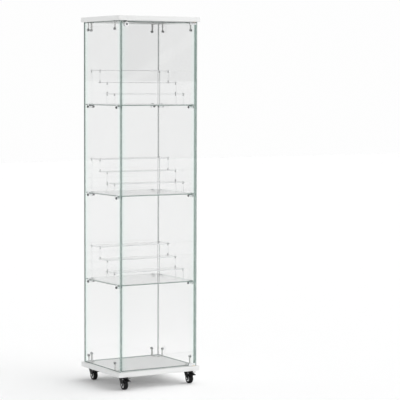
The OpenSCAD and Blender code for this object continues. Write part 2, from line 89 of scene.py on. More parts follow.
# Axes of a plate: its two drawing axes and the way it is thick, one a row
LYING = np.array([X_WAY, Y_WAY, Z_WAY])
FACING_SIDE = np.array([Y_WAY, Z_WAY, X_WAY])
FACING_FRONT = np.array([X_WAY, Z_WAY, -Y_WAY])


# Surfaces ----------------------------------------------------------------------------------


@dataclass(frozen=True)
class Faces:
    """Faces that all have the same number of corners.

    Attributes:
        corners: One face a row, as numbers of points.
        rim: How far the faces count as an edge of the piece, from 0 to 1.
    """

    corners: Array
    rim: float = 0.0


@dataclass(frozen=True)
class Place:
    """A local frame: its origin and its three axes, one a row."""

    origin: Array
    axes: Array

    @classmethod
    def at(cls, origin: Sequence[float], x: Array, z: Array) -> "Place":
        """A right-handed place whose X and Z point along x and z."""
        return cls(np.asarray(origin, float), np.array([x, np.cross(z, x), z], float))

    def put(self, points: Array) -> Array:
        """Local points in the row frame: the origin plus each coordinate along its axis."""
        return self.origin + points @ self.axes

    def local(self, points: Array) -> Array:
        """Points of the row frame as seen from this place."""
        return (points - self.origin) @ self.axes.T

    def within(self, origin: Sequence[float], axes: Array) -> "Place":
        """A place that is given inside this one."""
        return Place(self.put(np.asarray(origin, float)), axes @ self.axes)


@dataclass(frozen=True)
class Surface:
    """A closed shell, or several: points and the faces between them."""

    points: Array
    faces: list[Faces]

    def placed(self, place: Place) -> "Surface":
        """The same surface in another place."""
        return Surface(place.put(self.points), self.faces)

    def outward(self) -> "Surface":
        """The same closed shell with its faces pointing outwards.

        The signed volume is a sixth of the triple products of all the triangles that fan out
        in the faces. Where it is negative, every face is turned round.

        Returns:
            The surface, turned where it was inside out.
        """
        volume = 0.0
        for group in self.faces:
            first = self.points[group.corners[:, :1]]
            second = self.points[group.corners[:, 1:-1]]
            third = self.points[group.corners[:, 2:]]
            volume += float((first * np.cross(second, third)).sum())
        if volume >= 0:
            return self
        return Surface(self.points, [Faces(g.corners[:, ::-1], g.rim) for g in self.faces])


def joined(parts: Sequence[Surface]) -> Surface:
    """Several surfaces as one, with the later ones' faces counted on.

    Args:
        parts: The surfaces, which stay separate shells.

    Returns:
        One surface that holds them all.
    """
    starts = np.cumsum([0] + [len(part.points) for part in parts[:-1]])
    faces = [
        Faces(group.corners + start, group.rim)
        for part, start in zip(parts, starts, strict=True)
        for group in part.faces
    ]
    return Surface(np.concatenate([part.points for part in parts]), faces)


def unit(vectors: Array) -> Array:
    """Vectors divided by their own lengths."""
    return vectors / np.linalg.norm(vectors, axis=-1, keepdims=True)


def circle(radius: float, centre: Sequence[float] = (0.0, 0.0), segments: int = 28) -> Array:
    """Points round a circle, anticlockwise: the centre plus the radius times cosine and sine."""
    turn = np.arange(segments) * TURN / segments
    return np.asarray(centre) + radius * np.stack([np.cos(turn), np.sin(turn)], 1)


def rectangle(x0: float, y0: float, x1: float, y1: float) -> Array:
    """The four corners of a rectangle, anticlockwise."""
    return np.array([[x0, y0], [x1, y0], [x1, y1], [x0, y1]])


def soften(
    corners: Array, radii: float | Sequence[float], steps: int = 5, closed: bool = True
) -> Array:
    """Rounds the corners of an outline or of an open line.

    A corner whose sides stand at an angle of two halves becomes an arc. The arc touches both
    sides at radius / tan(half) from the corner, and its centre lies radius / sin(half) along the
    line that halves the corner. Points on the arc are the weighted sum of its two end spokes,
    with weights sin((1 - t) phi) and sin(t phi) over sin(phi).

    Args:
        corners: The corners, one a row.
        radii: One radius for all the corners, or one for each.
        steps: How many straight pieces make an arc.
        closed: Whether the last corner joins the first. Ends of an open line stay as they are.

    Returns:
        The points of the rounded line.
    """
    corners = np.asarray(corners, float)
    radii = np.broadcast_to(np.asarray(radii, float), len(corners)).copy()
    if not closed:
        radii[[0, -1]] = 0.0
    before = unit(np.roll(corners, 1, 0) - corners)
    after = unit(np.roll(corners, -1, 0) - corners)
    half = np.arccos(np.clip((before * after).sum(1), -1, 1)) / 2
    reach = (radii / np.tan(half))[:, None]
    centre = corners + unit(before + after + 1e-12) * (radii / np.sin(half))[:, None]
    phi = np.maximum(np.pi - 2 * half, 1e-6)[:, None]
    t = np.linspace(0, 1, steps + 1)[None]
    first = (np.sin((1 - t) * phi) / np.sin(phi))[..., None]
    last = (np.sin(t * phi) / np.sin(phi))[..., None]
    start = (corners + before * reach - centre)[:, None]
    end = (corners + after * reach - centre)[:, None]
    arcs = np.where(radii[:, None, None] > 0, centre[:, None] + first * start + last * end,
                    corners[:, None])
    points = arcs.reshape(-1, 2)
    apart = np.linalg.norm(points - np.roll(points, 1, 0), axis=1) > 1e-7
    apart[0] |= not closed
    return points[apart]


def inset(loop: Array, by: float) -> Array:
    """A closed loop moved towards its left side.

    Each corner moves along the sum of its two sides' left normals, divided by one plus their
    product, so that both sides move by the same distance.

    Args:
        loop: The loop, with the material on its left.
        by: How far the sides move.

    Returns:
        The moved loop.
    """
    ahead = unit(np.roll(loop, -1, 0) - loop)
    normal = np.stack([-ahead[:, 1], ahead[:, 0]], 1)
    before = np.roll(normal, 1, 0)
    return loop + by * (normal + before) / (1 + (normal * before).sum(1, keepdims=True))


def inside(points: Array, loop: Array) -> Array:
    """Whether points lie in a loop: a ray to the right crosses its sides an odd number of times.

    Args:
        points: The points, one a row.
        loop: The loop.

    Returns:
        True or False for each point.
    """
    start, end = loop, np.roll(loop, -1, 0)
    x, y = points[:, :1], points[:, 1:]
    straddles = (start[:, 1] > y) != (end[:, 1] > y)
    rise = end[:, 1] - start[:, 1]
    crossing = start[:, 0] + (y - start[:, 1]) * (end[:, 0] - start[:, 0]) / np.where(rise == 0, 1, rise)
    return (straddles & (x < crossing)).sum(1) % 2 == 1


def fill(loops: Sequence[Array]) -> Array:
    """Triangles that fill the first loop and leave the others open.

    Args:
        loops: An outline and the holes in it.

    Returns:
        Triangles as numbers of the loops' points, counted through, anticlockwise.
    """
    points = np.concatenate(loops)
    starts = np.cumsum([0] + [len(loop) for loop in loops[:-1]])
    sides = np.concatenate([
        np.stack([np.arange(len(loop)), np.roll(np.arange(len(loop)), -1)], 1) + start
        for loop, start in zip(loops, starts, strict=True)
    ])
    _, _, faces, origins, _, _ = delaunay_2d_cdt(
        [Vector(p) for p in points], sides.tolist(), [], 0, 1e-8)
    number = np.array([origin[0] for origin in origins])
    triangles = number[np.array(faces)]
    middles = points[triangles].mean(1)
    kept = inside(middles, loops[0])
    for hole in loops[1:]:
        kept &= ~inside(middles, hole)
    return triangles[kept]


def ring_quads(rings: int, around: int, closed: bool = False) -> Array:
    """Quads between rings of points that are numbered one ring after another.

    Args:
        rings: How many rings there are.
        around: How many points each has.
        closed: Whether the last ring joins the first.

    Returns:
        The quads: the band between two rings, the place around it, and the four corners.
    """
    index = np.arange(rings * around).reshape(rings, around)
    if closed:
        index = np.vstack([index, index[:1]])
    ahead = np.roll(index, -1, 1)
    return np.stack([index[:-1], ahead[:-1], ahead[1:], index[1:]], -1)


def wall(loop: Array, levels: Array, rims: Array) -> Surface:
    """A wall along a closed loop, ring above ring.

    Args:
        loop: The loop, with the material on its left.
        levels: Each ring's inset and height, from the lowest up.
        rims: How far each band between two rings counts as an edge.

    Returns:
        The open wall, facing away from the material.
    """
    rings = [np.column_stack([inset(loop, by), np.full(len(loop), height)]) for by, height in levels]
    quads = ring_quads(len(levels), len(loop))
    faces = [Faces(quads[rims == rim].reshape(-1, 4), float(rim)) for rim in np.unique(rims)]
    return Surface(np.concatenate(rings), faces)


@dataclass(frozen=True)
class Pocket:
    """A blind hole in a plate: its outline, its depth, and whether it is cut from the top."""

    outline: Array
    depth: float
    from_top: bool = True


def plate(
    outline: Array,
    thickness: float,
    edge: float,
    holes: Sequence[Array] = (),
    pockets: Sequence[Pocket] = (),
    steps: int = 4,
    side_rim: float = 0.0,
) -> Surface:
    """A flat plate around local z = 0, with a worked edge along its outline and its holes.

    With several steps the edge is a quarter circle: at an angle a from the face, the ring is
    inset by edge (1 - sin a) and lies edge (1 - cos a) below the face. A narrow flat band
    follows on both sides, so that the flat faces stay flat in their shading. With one step the
    edge is a plain bevel at 45 degrees.

    Args:
        outline: The outline, anticlockwise.
        thickness: How thick the plate is.
        edge: Radius of the rounded edge, or width of the bevel.
        holes: Outlines of the holes that go right through, anticlockwise.
        pockets: Blind holes.
        steps: How many pieces the edge has.
        side_rim: How far the sides count as an edge.

    Returns:
        The closed plate.
    """
    angle = np.linspace(0, np.pi / 2, steps + 1)
    top = np.column_stack([edge * (1 - np.sin(angle)), thickness / 2 - edge * (1 - np.cos(angle))])
    rims = np.ones(steps)
    if steps > 1:
        top = np.vstack([[2 * edge, thickness / 2], top])
        rims = np.append(0.0, rims)
        if thickness > 5 * edge:
            top = np.vstack([top, [0, thickness / 2 - 2 * edge]])
            rims = np.append(rims, side_rim)
    levels = np.vstack([top * [1, -1], top[::-1]])
    rims = np.concatenate([rims, [side_rim], rims[::-1]])
    loops = [outline] + [hole[::-1] for hole in holes]
    walls = [wall(loop, levels, rims) for loop in loops]
    parts = list(walls)
    for sign in (-1, 1):
        flat = thickness / 2 * sign
        cut = [p for p in pockets if p.from_top == (sign > 0)]
        rings = [inset(loop, levels[0, 0]) for loop in loops] + [p.outline[::-1] for p in cut]
        triangles = fill(rings)[:, ::sign]
        cap = np.concatenate(rings)
        parts.append(Surface(np.column_stack([cap, np.full(len(cap), flat)]), [Faces(triangles)]))
        for pocket in cut:
            floor = flat - sign * pocket.depth
            heights = np.array([[0, floor], [0, flat]])[::sign]
            parts.append(wall(pocket.outline[::-1], heights, np.zeros(1)))
            base = np.column_stack([pocket.outline, np.full(len(pocket.outline), floor)])
            parts.append(Surface(base, [Faces(fill([pocket.outline])[:, ::sign])]))
    return welded(joined(parts)).outward()


def welded(surface: Surface, within: float = 0.2e-6) -> Surface:
    """A surface whose coinciding points are one, so that its bands and caps share their rings.

    Args:
        surface: The surface.
        within: How close two points are that become one.

    Returns:
        The surface, with its points counted anew.
    """
    _, first, number = np.unique(
        np.round(surface.points / within), axis=0, return_index=True, return_inverse=True)
    number = number.reshape(-1)
    faces = [Faces(number[group.corners], group.rim) for group in surface.faces]
    return Surface(surface.points[first], faces)


def lathe(profile: Array, segments: int = 32, ring: bool = False) -> Surface:
    """A profile turned about local z.

    A point (radius, height) becomes the circle (radius cos a, radius sin a, height). The short
    stretches of the profile are its rounded corners and count as edge.

    Args:
        profile: Radius and height, one point a row. Unless it is a ring, both ends are on the axis.
        segments: How many pieces the turn has.
        ring: Whether the profile closes on itself, clear of the axis.

    Returns:
        The closed shell.
    """
    turn = np.arange(segments) * TURN / segments
    line = profile if ring else profile[1:-1]
    radius, height = line[:, :1], line[:, 1:]
    points = np.stack([radius * np.cos(turn), radius * np.sin(turn), height + 0 * turn], -1)
    points = points.reshape(-1, 3)
    quads = ring_quads(len(line), segments, ring)
    lengths = np.linalg.norm(np.roll(line, -1, 0) - line, axis=1)
    short = lengths[: len(quads)] < SHORT_STRETCH
    faces = [Faces(quads[short].reshape(-1, 4), 1.0), Faces(quads[~short].reshape(-1, 4))]
    if not ring:
        first = np.arange(segments)
        last = first + len(points) - segments
        low, high = np.full(segments, len(points)), np.full(segments, len(points) + 1)
        faces.append(Faces(np.stack([low, np.roll(first, -1), first], -1)))
        faces.append(Faces(np.stack([high, last, np.roll(last, -1)], -1)))
        poles = np.array([[0, 0, profile[0, 1]], [0, 0, profile[-1, 1]]])
        points = np.concatenate([points, poles])
    return Surface(points, [group for group in faces if len(group.corners)]).outward()


def turned(
    corners: Sequence[tuple[float, float]],
    radii: float | Sequence[float],
    segments: int = 32,
    ring: bool = False,
) -> Surface:
    """A turned shape from its profile's corners, with each corner rounded first."""
    return lathe(soften(np.array(corners), radii, closed=ring), segments, ring)


def round_bar(
    radius: float, low: float, high: float, soft: Sequence[float] = (0.0, 0.0),
    segments: int = 32, bore: float = 0.0,
) -> Surface:
    """A round bar along local z, or a sleeve where it has a bore.

    Args:
        radius: Its radius.
        low: Where it starts.
        high: Where it ends.
        soft: Radii of its lower and its upper edge.
        segments: How many pieces the turn has.
        bore: Radius of its bore.

    Returns:
        The closed bar.
    """
    corners = [(bore, low), (radius, low), (radius, high), (bore, high)]
    return turned(corners, [0, *soft, 0], segments, ring=bore > 0)


def strip(
    path: Array, width: float, thickness: float, edge: float, start_round: float, end_round: float
) -> Surface:
    """A flat strip carried along a bent path in local x and z, with round ends.

    Within the start's rounding, at a distance s from the end, each side draws in by
    r - sqrt(r^2 - (r - s)^2), and likewise at the other end. The section is a rectangle with
    rounded corners: half the width less the edge plus edge cos(a) across, and half the
    thickness less the edge plus edge sin(a) along the path's normal.

    Args:
        path: The middle line, one point (x, z) a row.
        width: Full width of the strip.
        thickness: Thickness of the strip.
        edge: Radius of the strip's long edges.
        start_round: Radius of the two corners at the start.
        end_round: Radius of the two corners at the end.

    Returns:
        The closed strip.
    """
    reached = np.append(0, np.cumsum(np.linalg.norm(np.diff(path, axis=0), axis=1)))
    total = reached[-1]
    crowd = 1 - np.cos(np.linspace(0, np.pi / 2, 7))
    bends = reached[(reached > start_round) & (reached < total - end_round)]
    stations = np.unique(np.round(
        np.concatenate([start_round * crowd, bends, total - end_round * crowd]), 7))
    middle = np.column_stack([np.interp(stations, reached, path[:, i]) for i in (0, 1)])
    along = unit(np.column_stack([
        np.interp(np.minimum(stations + 0.05 * MM, total), reached, path[:, i])
        - np.interp(np.maximum(stations - 0.05 * MM, 0), reached, path[:, i])
        for i in (0, 1)
    ]))
    normal = np.column_stack([-along[:, 1], along[:, 0]])
    lost = sum(
        r - np.sqrt(np.maximum(r**2 - np.maximum(r - s, 0) ** 2, 0))
        for r, s in ((start_round, stations), (end_round, total - stations))
    )
    half = np.maximum(width / 2 - lost, edge)[:, None]
    turn = (np.arange(4) * TURN / 4)[:, None] + np.linspace(0, TURN / 4, 4)
    side = np.sign(np.cos(turn.mean(1)))[:, None] + 0 * turn
    level = np.sign(np.sin(turn.mean(1)))[:, None] + 0 * turn
    across = side.ravel() * (half - edge) + edge * np.cos(turn).ravel()
    out = level.ravel() * (thickness / 2 - edge) + edge * np.sin(turn).ravel()
    points = np.stack([
        middle[:, :1] + normal[:, :1] * out, across, middle[:, 1:] + normal[:, 1:] * out], -1)
    rings, around = points.shape[:2]
    quads = ring_quads(rings, around)
    section = np.arange(around)
    rounded = section % 4 < 3
    faces = [
        Faces(quads[:, rounded].reshape(-1, 4), 1.0),
        Faces(quads[:, ~rounded].reshape(-1, 4)),
        Faces(section[None, ::-1]),
        Faces(section[None] + (rings - 1) * around),
    ]
    return Surface(points.reshape(-1, 3), faces).outward()


# A screw's recess, as shares of its head's radius, and its depth and its head's edge, as shares
# of the head's height. The point is a share of the shank's radius.
HEX_RADIUS, CROSS_REACH, CROSS_HALF = 0.5, 0.62, 0.14
RECESS_DEPTH, HEAD_EDGE, SCREW_POINT = 0.55, 0.3, 0.4


class Recess(Enum):
    """The driver recess in a screw's head."""

    NONE = "none"
    CROSS = "cross"
    HEX = "hex"

    def outline(self, head_radius: float) -> Array | None:
        """The recess seen from above, sized to the head, or nothing.

        Args:
            head_radius: Radius of the screw's head.

        Returns:
            Its outline, or None for a plain head.
        """
        if self is Recess.HEX:
            return circle(HEX_RADIUS * head_radius, segments=6)
        if self is Recess.CROSS:
            arm, half = CROSS_REACH * head_radius, CROSS_HALF * head_radius
            corner = np.array([[arm, -half], [arm, half], [half, half]])
            turns = [np.array([[c, s], [-s, c]]) for c, s in ((1, 0), (0, 1), (-1, 0), (0, -1))]
            return np.concatenate([corner @ turn for turn in turns])
        return None


def screw(
    head_radius: float, head: float, radius: float, length: float, recess: Recess
) -> Surface:
    """A screw that points down local z: its head stands on z = 0 and its shank hangs below.

    Args:
        head_radius: Radius of the head.
        head: Height of the head.
        radius: Radius of the shank.
        length: Length of the shank.
        recess: The driver recess.

    Returns:
        The head and the shank.
    """
    outline = recess.outline(head_radius)
    pockets = [] if outline is None else [Pocket(outline, RECESS_DEPTH * head)]
    top = plate(
        circle(head_radius, segments=24), head, HEAD_EDGE * head, pockets=pockets, steps=3)
    up = Place.at(Z_WAY * head / 2, X_WAY, Z_WAY)
    point = SCREW_POINT * radius
    shank = turned(
        [(0, -length), (radius - point, -length), (radius, point - length), (radius, 0), (0, 0)],
        0, 16)
    return joined([top.placed(up), shank])


# The frame ---------------------------------------------------------------------------------


@dataclass(frozen=True)
class Box:
    """A solid's or a node's lowest and highest corners, and its points where they matter."""

    low: Array
    high: Array
    points: Array = field(default_factory=lambda: np.zeros((0, 3)))

    @property
    def size(self) -> Array:
        """Length along X, Y and Z."""
        return self.high - self.low

    @property
    def centre(self) -> Array:
        """The middle of the box."""
        return (self.low + self.high) / 2

    def reach(self, place: Place) -> tuple[Array, Array]:
        """The box's lowest and highest corners as seen from a place."""
        ends = place.local(np.array([self.low, self.high]))
        return ends.min(0), ends.max(0)

    @classmethod
    def of(cls, node: str) -> "Box":
        """The box of a CAD node at rest."""
        low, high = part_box(node)
        return cls(np.array(low), np.array(high))


def solids_of(node: bpy.types.Object, weld: float = 0.01 * MM) -> list[Box]:
    """Boxes of the separate solids in a CAD node.

    Points closer than the weld become one. Then every point takes the smallest number among the
    points of its triangles, again and again, until each solid has one number.

    Args:
        node: The CAD node's object.
        weld: Distance within which points are the same.

    Returns:
        One box a solid, sorted by height, then depth, then width.
    """
    mesh = node.data
    points = np.zeros(len(mesh.vertices) * 3, np.float32)
    mesh.vertices.foreach_get("co", points)
    points = points.reshape(-1, 3).astype(float)
    corners = np.zeros(len(mesh.loops), np.int32)
    mesh.loops.foreach_get("vertex_index", corners)
    _, number = np.unique(np.round(points / weld), axis=0, return_inverse=True)
    number = number.reshape(-1)
    triangles = number[corners].reshape(-1, 3)
    label = np.arange(number.max() + 1)
    settled = False
    while not settled:
        lowest = label[triangles].min(1)
        spread = label.copy()
        np.minimum.at(spread, triangles.ravel(), np.repeat(lowest, 3))
        spread = spread[spread]
        settled = bool((spread == label).all())
        label = spread
    owner = label[number]
    groups = [points[owner == one] for one in np.unique(owner)]
    boxes = [Box(group.min(0), group.max(0), group) for group in groups]
    return sorted(boxes, key=lambda box: tuple(np.round(box.centre[::-1], 4)))


@dataclass(frozen=True)
class Shell:
    """The fixed glass around the case's inside: the faces that hardware is fixed to."""

    left: float
    right: float
    back: float
    thickness: float

    @classmethod
    def of_frame(cls) -> "Shell":
        """The inner faces of the left, right and back panels."""
        left, right, back = (Box.of(f"{side}_glass") for side in ("left", "right", "back"))
        return cls(left.high[0], right.low[0], back.low[1], left.size[0])

    def place(self, centre: Array, height: float, up: Array = Z_WAY) -> Place:
        """A place on the inner face of the nearest panel, with X pointing into the case.

        Args:
            centre: The middle of the piece that is fixed there.
            height: The place's height.
            up: Its Z axis.

        Returns:
            The place.
        """
        distances = (centre[0] - self.left, self.right - centre[0], self.back - centre[1])
        nearest = int(np.argmin(np.abs(distances)))
        way = (X_WAY, -X_WAY, -Y_WAY)[nearest]
        origin = np.array([centre[0], centre[1], height])
        origin[nearest // 2] = (self.left, self.right, self.back)[nearest]
        return Place.at(origin, way, up)


# Finishes ----------------------------------------------------------------------------------


class Graph:
    """A node tree that is being built."""

    def __init__(self, tree: Tree) -> None:
        """Starts with an empty tree."""
        self.tree = tree
        tree.nodes.clear()

    def node(self, kind: str, inputs: dict | None = None, **settings: object) -> bpy.types.Node:
        """Adds a node.

        Args:
            kind: The node's type.
            inputs: What goes into its sockets, by name or number: a value or another socket.
            settings: Values of its own, such as an operation.

        Returns:
            The node.
        """
        made = self.tree.nodes.new(kind)
        for name, value in settings.items():
            setattr(made, name, value)
        for name, value in (inputs or {}).items():
            if isinstance(value, Socket):
                self.tree.links.new(value, made.inputs[name])
            else:
                made.inputs[name].default_value = value
        return made

    def maths(self, operation: str, *values: object, clamp: bool = False) -> Socket:
        """The outcome of a Math node on values or sockets."""
        return self.node("ShaderNodeMath", dict(enumerate(values)), operation=operation,
                         use_clamp=clamp).outputs[0]

    def mixed(self, factor: object, first: object, second: object) -> Socket:
        """A colour between two colours or sockets."""
        colours = [(*c, 1.0) if isinstance(c, tuple) else c for c in (first, second)]
        return self.node("ShaderNodeMix", {0: factor, 6: colours[0], 7: colours[1]},
                         data_type="RGBA").outputs[2]

    def upward(self) -> Socket:
        """How far the surface faces up: the Z part of its normal."""
        normal = self.node("ShaderNodeNewGeometry").outputs["Normal"]
        return self.node("ShaderNodeSeparateXYZ", {0: normal}).outputs[2]

    def group(self, tree: Tree, **inputs: object) -> Socket:
        """The first output of a shared group, placed with its own values.

        Args:
            tree: The shared group.
            inputs: A value or a socket for each of its inputs.

        Returns:
            The group's output.
        """
        made = self.node("ShaderNodeGroup", node_tree=tree)
        for name, value in inputs.items():
            socket = made.inputs[name.replace("_", " ").capitalize()]
            if isinstance(value, Socket):
                self.tree.links.new(value, socket)
            else:
                socket.default_value = value
        return made.outputs[0]


def shared_group(
    name: str, sockets: dict[str, tuple[str, object]], output: str
) -> tuple[Tree, Graph, bpy.types.Node, Callable[[Socket], None]]:
    """Starts a node group.

    Args:
        name: The group's name.
        sockets: The inputs by name: whether each is a Float or a Vector, and its plain value.
        output: The name of its one output, a value.

    Returns:
        The tree, its graph, the node that gives the inputs, and what connects the output.
    """
    tree = bpy.data.node_groups.new(name, "ShaderNodeTree")
    graph = Graph(tree)
    for label, (kind, value) in sockets.items():
        socket = tree.interface.new_socket(
            label, in_out="INPUT", socket_type=f"NodeSocket{kind}")
        socket.default_value = value
    tree.interface.new_socket(output, in_out="OUTPUT", socket_type="NodeSocketFloat")
    given = graph.node("NodeGroupInput")

    def finish(result: Socket) -> None:
        """Connects the group's output."""
        graph.node("NodeGroupOutput", {0: result})

    return tree, graph, given, finish


def grain_group() -> Tree:
    """Fine grain: fractal noise on stretched coordinates, spread over 0 to 1.

    Returns:
        The group.
    """
    tree, graph, given, finish = shared_group(
        "fine_grain",
        {"Coordinates": ("Vector", (0, 0, 0)), "Scale": ("Float", 300), "Stretch": ("Vector", (1, 1, 1))},
        "Value",
    )
    stretched = graph.node(
        "ShaderNodeVectorMath", {0: given.outputs["Coordinates"], 1: given.outputs["Stretch"]},
        operation="MULTIPLY")
    noise = graph.node(
        "ShaderNodeTexNoise",
        {"Vector": stretched.outputs[0], "Scale": given.outputs["Scale"], "Detail": 3.0})
    spread = graph.node(
        "ShaderNodeMapRange", {"Value": noise.outputs[0], "From Min": 0.3, "From Max": 0.7})
    finish(spread.outputs[0])
    return tree


def wear_group() -> Tree:
    """Edge wear: patches of noise, kept where the surface counts as an edge.

    Returns:
        The group.
    """
    tree, graph, given, finish = shared_group(
        "edge_wear",
        {"Coordinates": ("Vector", (0, 0, 0)), "Rim": ("Float", 0), "Amount": ("Float", 0.5)},
        "Mask",
    )
    patches = graph.node(
        "ShaderNodeTexNoise", {"Vector": given.outputs["Coordinates"], "Scale": 140.0, "Detail": 2.0})
    level = graph.maths("SUBTRACT", 1.0, given.outputs["Amount"])
    above = graph.maths("SUBTRACT", patches.outputs[0], graph.maths("MULTIPLY", level, 0.7))
    sharp = graph.maths("MULTIPLY", above, 6.0, clamp=True)
    finish(graph.maths("MULTIPLY", sharp, given.outputs["Rim"]))
    return tree


def dust_group() -> Tree:
    """Settled dust: soft patches of noise on what faces up.

    Returns:
        The group.
    """
    tree, graph, given, finish = shared_group(
        "settled_dust",
        {"Coordinates": ("Vector", (0, 0, 0)), "Amount": ("Float", 0.2)},
        "Mask",
    )
    patches = graph.node(
        "ShaderNodeTexNoise", {"Vector": given.outputs["Coordinates"], "Scale": 35.0, "Detail": 4.0})
    lying = graph.maths("MULTIPLY", graph.upward(), patches.outputs[0], clamp=True)
    finish(graph.maths("MULTIPLY", lying, given.outputs["Amount"]))
    return tree


def band_group() -> Tree:
    """A band: 1 within Width of Position along Axis, and down to 0 over the next Fade.

    Returns:
        The group.
    """
    tree, graph, given, finish = shared_group(
        "band",
        {
            "Coordinates": ("Vector", (0, 0, 0)), "Axis": ("Vector", (1, 0, 0)),
            "Position": ("Float", 0), "Width": ("Float", 0.01), "Fade": ("Float", 0.01),
        },
        "Mask",
    )
    along = graph.node(
        "ShaderNodeVectorMath", {0: given.outputs["Coordinates"], 1: given.outputs["Axis"]},
        operation="DOT_PRODUCT").outputs["Value"]
    off = graph.maths("ABSOLUTE", graph.maths("SUBTRACT", along, given.outputs["Position"]))
    beyond = graph.maths("SUBTRACT", off, given.outputs["Width"])
    share = graph.maths("DIVIDE", beyond, given.outputs["Fade"], clamp=True)
    kept = graph.maths("SUBTRACT", 1.0, share)
    finish(graph.maths("MULTIPLY", kept, kept))
    return tree


@dataclass(frozen=True)
class Groups:
    """The shader node groups that the finishes share."""

    grain: Tree
    wear: Tree
    dust: Tree
    band: Tree

    @classmethod
    def made(cls) -> "Groups":
        """Builds each group once."""
        return cls(grain_group(), wear_group(), dust_group(), band_group())


def new_material(name: str) -> tuple[Material, Graph, Socket]:
    """Starts a material.

    Args:
        name: Its name.

    Returns:
        The material, its graph, and the Object coordinates in it.
    """
    made = bpy.data.materials.new(name)
    made.use_nodes = True
    graph = Graph(made.node_tree)
    return made, graph, graph.node("ShaderNodeTexCoord").outputs["Object"]


@dataclass(frozen=True)
class Band:
    """A coloured band across a pane.

    Attributes:
        axis: The way across the band.
        position: Where its middle is, along the axis.
        width: How far from there it is full.
        fade: How far it goes on from there, fading.
        colour: Its colour.
    """

    axis: tuple[float, float, float]
    position: float
    width: float
    fade: float
    colour: Colour

    def mask(self, graph: Graph, groups: Groups, where: Socket) -> Socket:
        """The band's mask on the coordinates that are given, from the shared group."""
        return graph.group(
            groups.band, coordinates=where, axis=self.axis, position=self.position,
            width=self.width, fade=self.fade)


DUST_COLOUR = (0.62, 0.61, 0.58)
DUST_ROUGHENS = 0.4
SMOOTHEST = 0.02
COAT_ROUGHNESS = 0.08


@dataclass(frozen=True)
class SolidFinish:
    """An opaque finish: mottled colour with grain, worn edges, dust, and any painted shade field.

    Attributes:
        colour: The plain colour.
        roughness: Roughness in the middle of its range.
        metallic: 1 on bare or plated metal.
        worn: Colour where an edge has worn.
        wear: How much of the edges has worn, from 0 to 1.
        grain: Grains a metre.
        stretch: How the grain is squeezed along X, Y and Z.
        mottle: How far the grain moves the colour, as a share.
        gloss_range: How far the grain moves the roughness.
        relief: Height of the grain.
        dust: How much dust lies on top, from 0 to 1.
        coat: Weight of a clear coat.
        specular: Strength of the plain gloss.
        field: Bands whose overlap takes a painted shade colour on the side that faces up.
    """

    colour: Colour
    roughness: float
    metallic: float = 0.0
    worn: Colour = (0.7, 0.7, 0.7)
    wear: float = 0.0
    grain: float = 400.0
    stretch: tuple[float, float, float] = (1.0, 1.0, 1.0)
    mottle: float = 0.04
    gloss_range: float = 0.08
    relief: float = 0.01 * MM
    dust: float = 0.05
    coat: float = 0.0
    specular: float = 0.5
    field: tuple[Band, ...] = ()

    def material(self, name: str, groups: Groups) -> Material:
        """Builds the finish.

        Args:
            name: The material's name.
            groups: The shared node groups.

        Returns:
            The material.
        """
        made, graph, where = new_material(name)
        rim = graph.node("ShaderNodeAttribute", attribute_name="rim").outputs["Fac"]
        grain = graph.group(groups.grain, coordinates=where, scale=self.grain, stretch=self.stretch)
        wear = graph.group(groups.wear, coordinates=where, rim=rim, amount=self.wear)
        dust = graph.group(groups.dust, coordinates=where, amount=self.dust)
        darker, lighter = (
            tuple(min(c * (1 + sign * self.mottle), 1.0) for c in self.colour) for sign in (-1, 1))
        colour = graph.mixed(grain, darker, lighter)
        # Painted shade: where the field's bands overlap on what faces up, the colour gives way to a darker
        # one that stands in for shade
        if self.field:
            mask = graph.maths("GREATER_THAN", graph.upward(), 0.5)
            for band in self.field:
                mask = graph.maths("MULTIPLY", mask, band.mask(graph, groups, where))
            colour = graph.mixed(mask, colour, self.field[0].colour)
        colour = graph.mixed(wear, colour, self.worn)
        colour = graph.mixed(dust, colour, DUST_COLOUR)
        low = max(self.roughness - self.gloss_range, SMOOTHEST)
        gloss = graph.node(
            "ShaderNodeMapRange",
            {"Value": grain, "To Min": low, "To Max": self.roughness + self.gloss_range})
        dull = graph.maths("MULTIPLY", dust, DUST_ROUGHENS)
        rough = graph.maths("ADD", gloss.outputs[0], dull, clamp=True)
        bump = graph.node(
            "ShaderNodeBump", {"Height": grain, "Strength": 1.0, "Distance": self.relief})
        shader = graph.node(
            "ShaderNodeBsdfPrincipled",
            {
                "Base Color": colour, "Roughness": rough, "Metallic": self.metallic,
                "Normal": bump.outputs[0], "Coat Weight": self.coat,
                "Coat Roughness": COAT_ROUGHNESS, "Specular IOR Level": self.specular,
            })
        graph.node("ShaderNodeOutputMaterial", {0: shader.outputs[0]})
        return made


# Faint haze in clear pieces: its scale, its stretch, and what it leaves of the colour
HAZE_SCALE = 9.0
HAZE_STRETCH = (1.0, 1.0, 0.6)
HAZE_LEAVES = 0.988


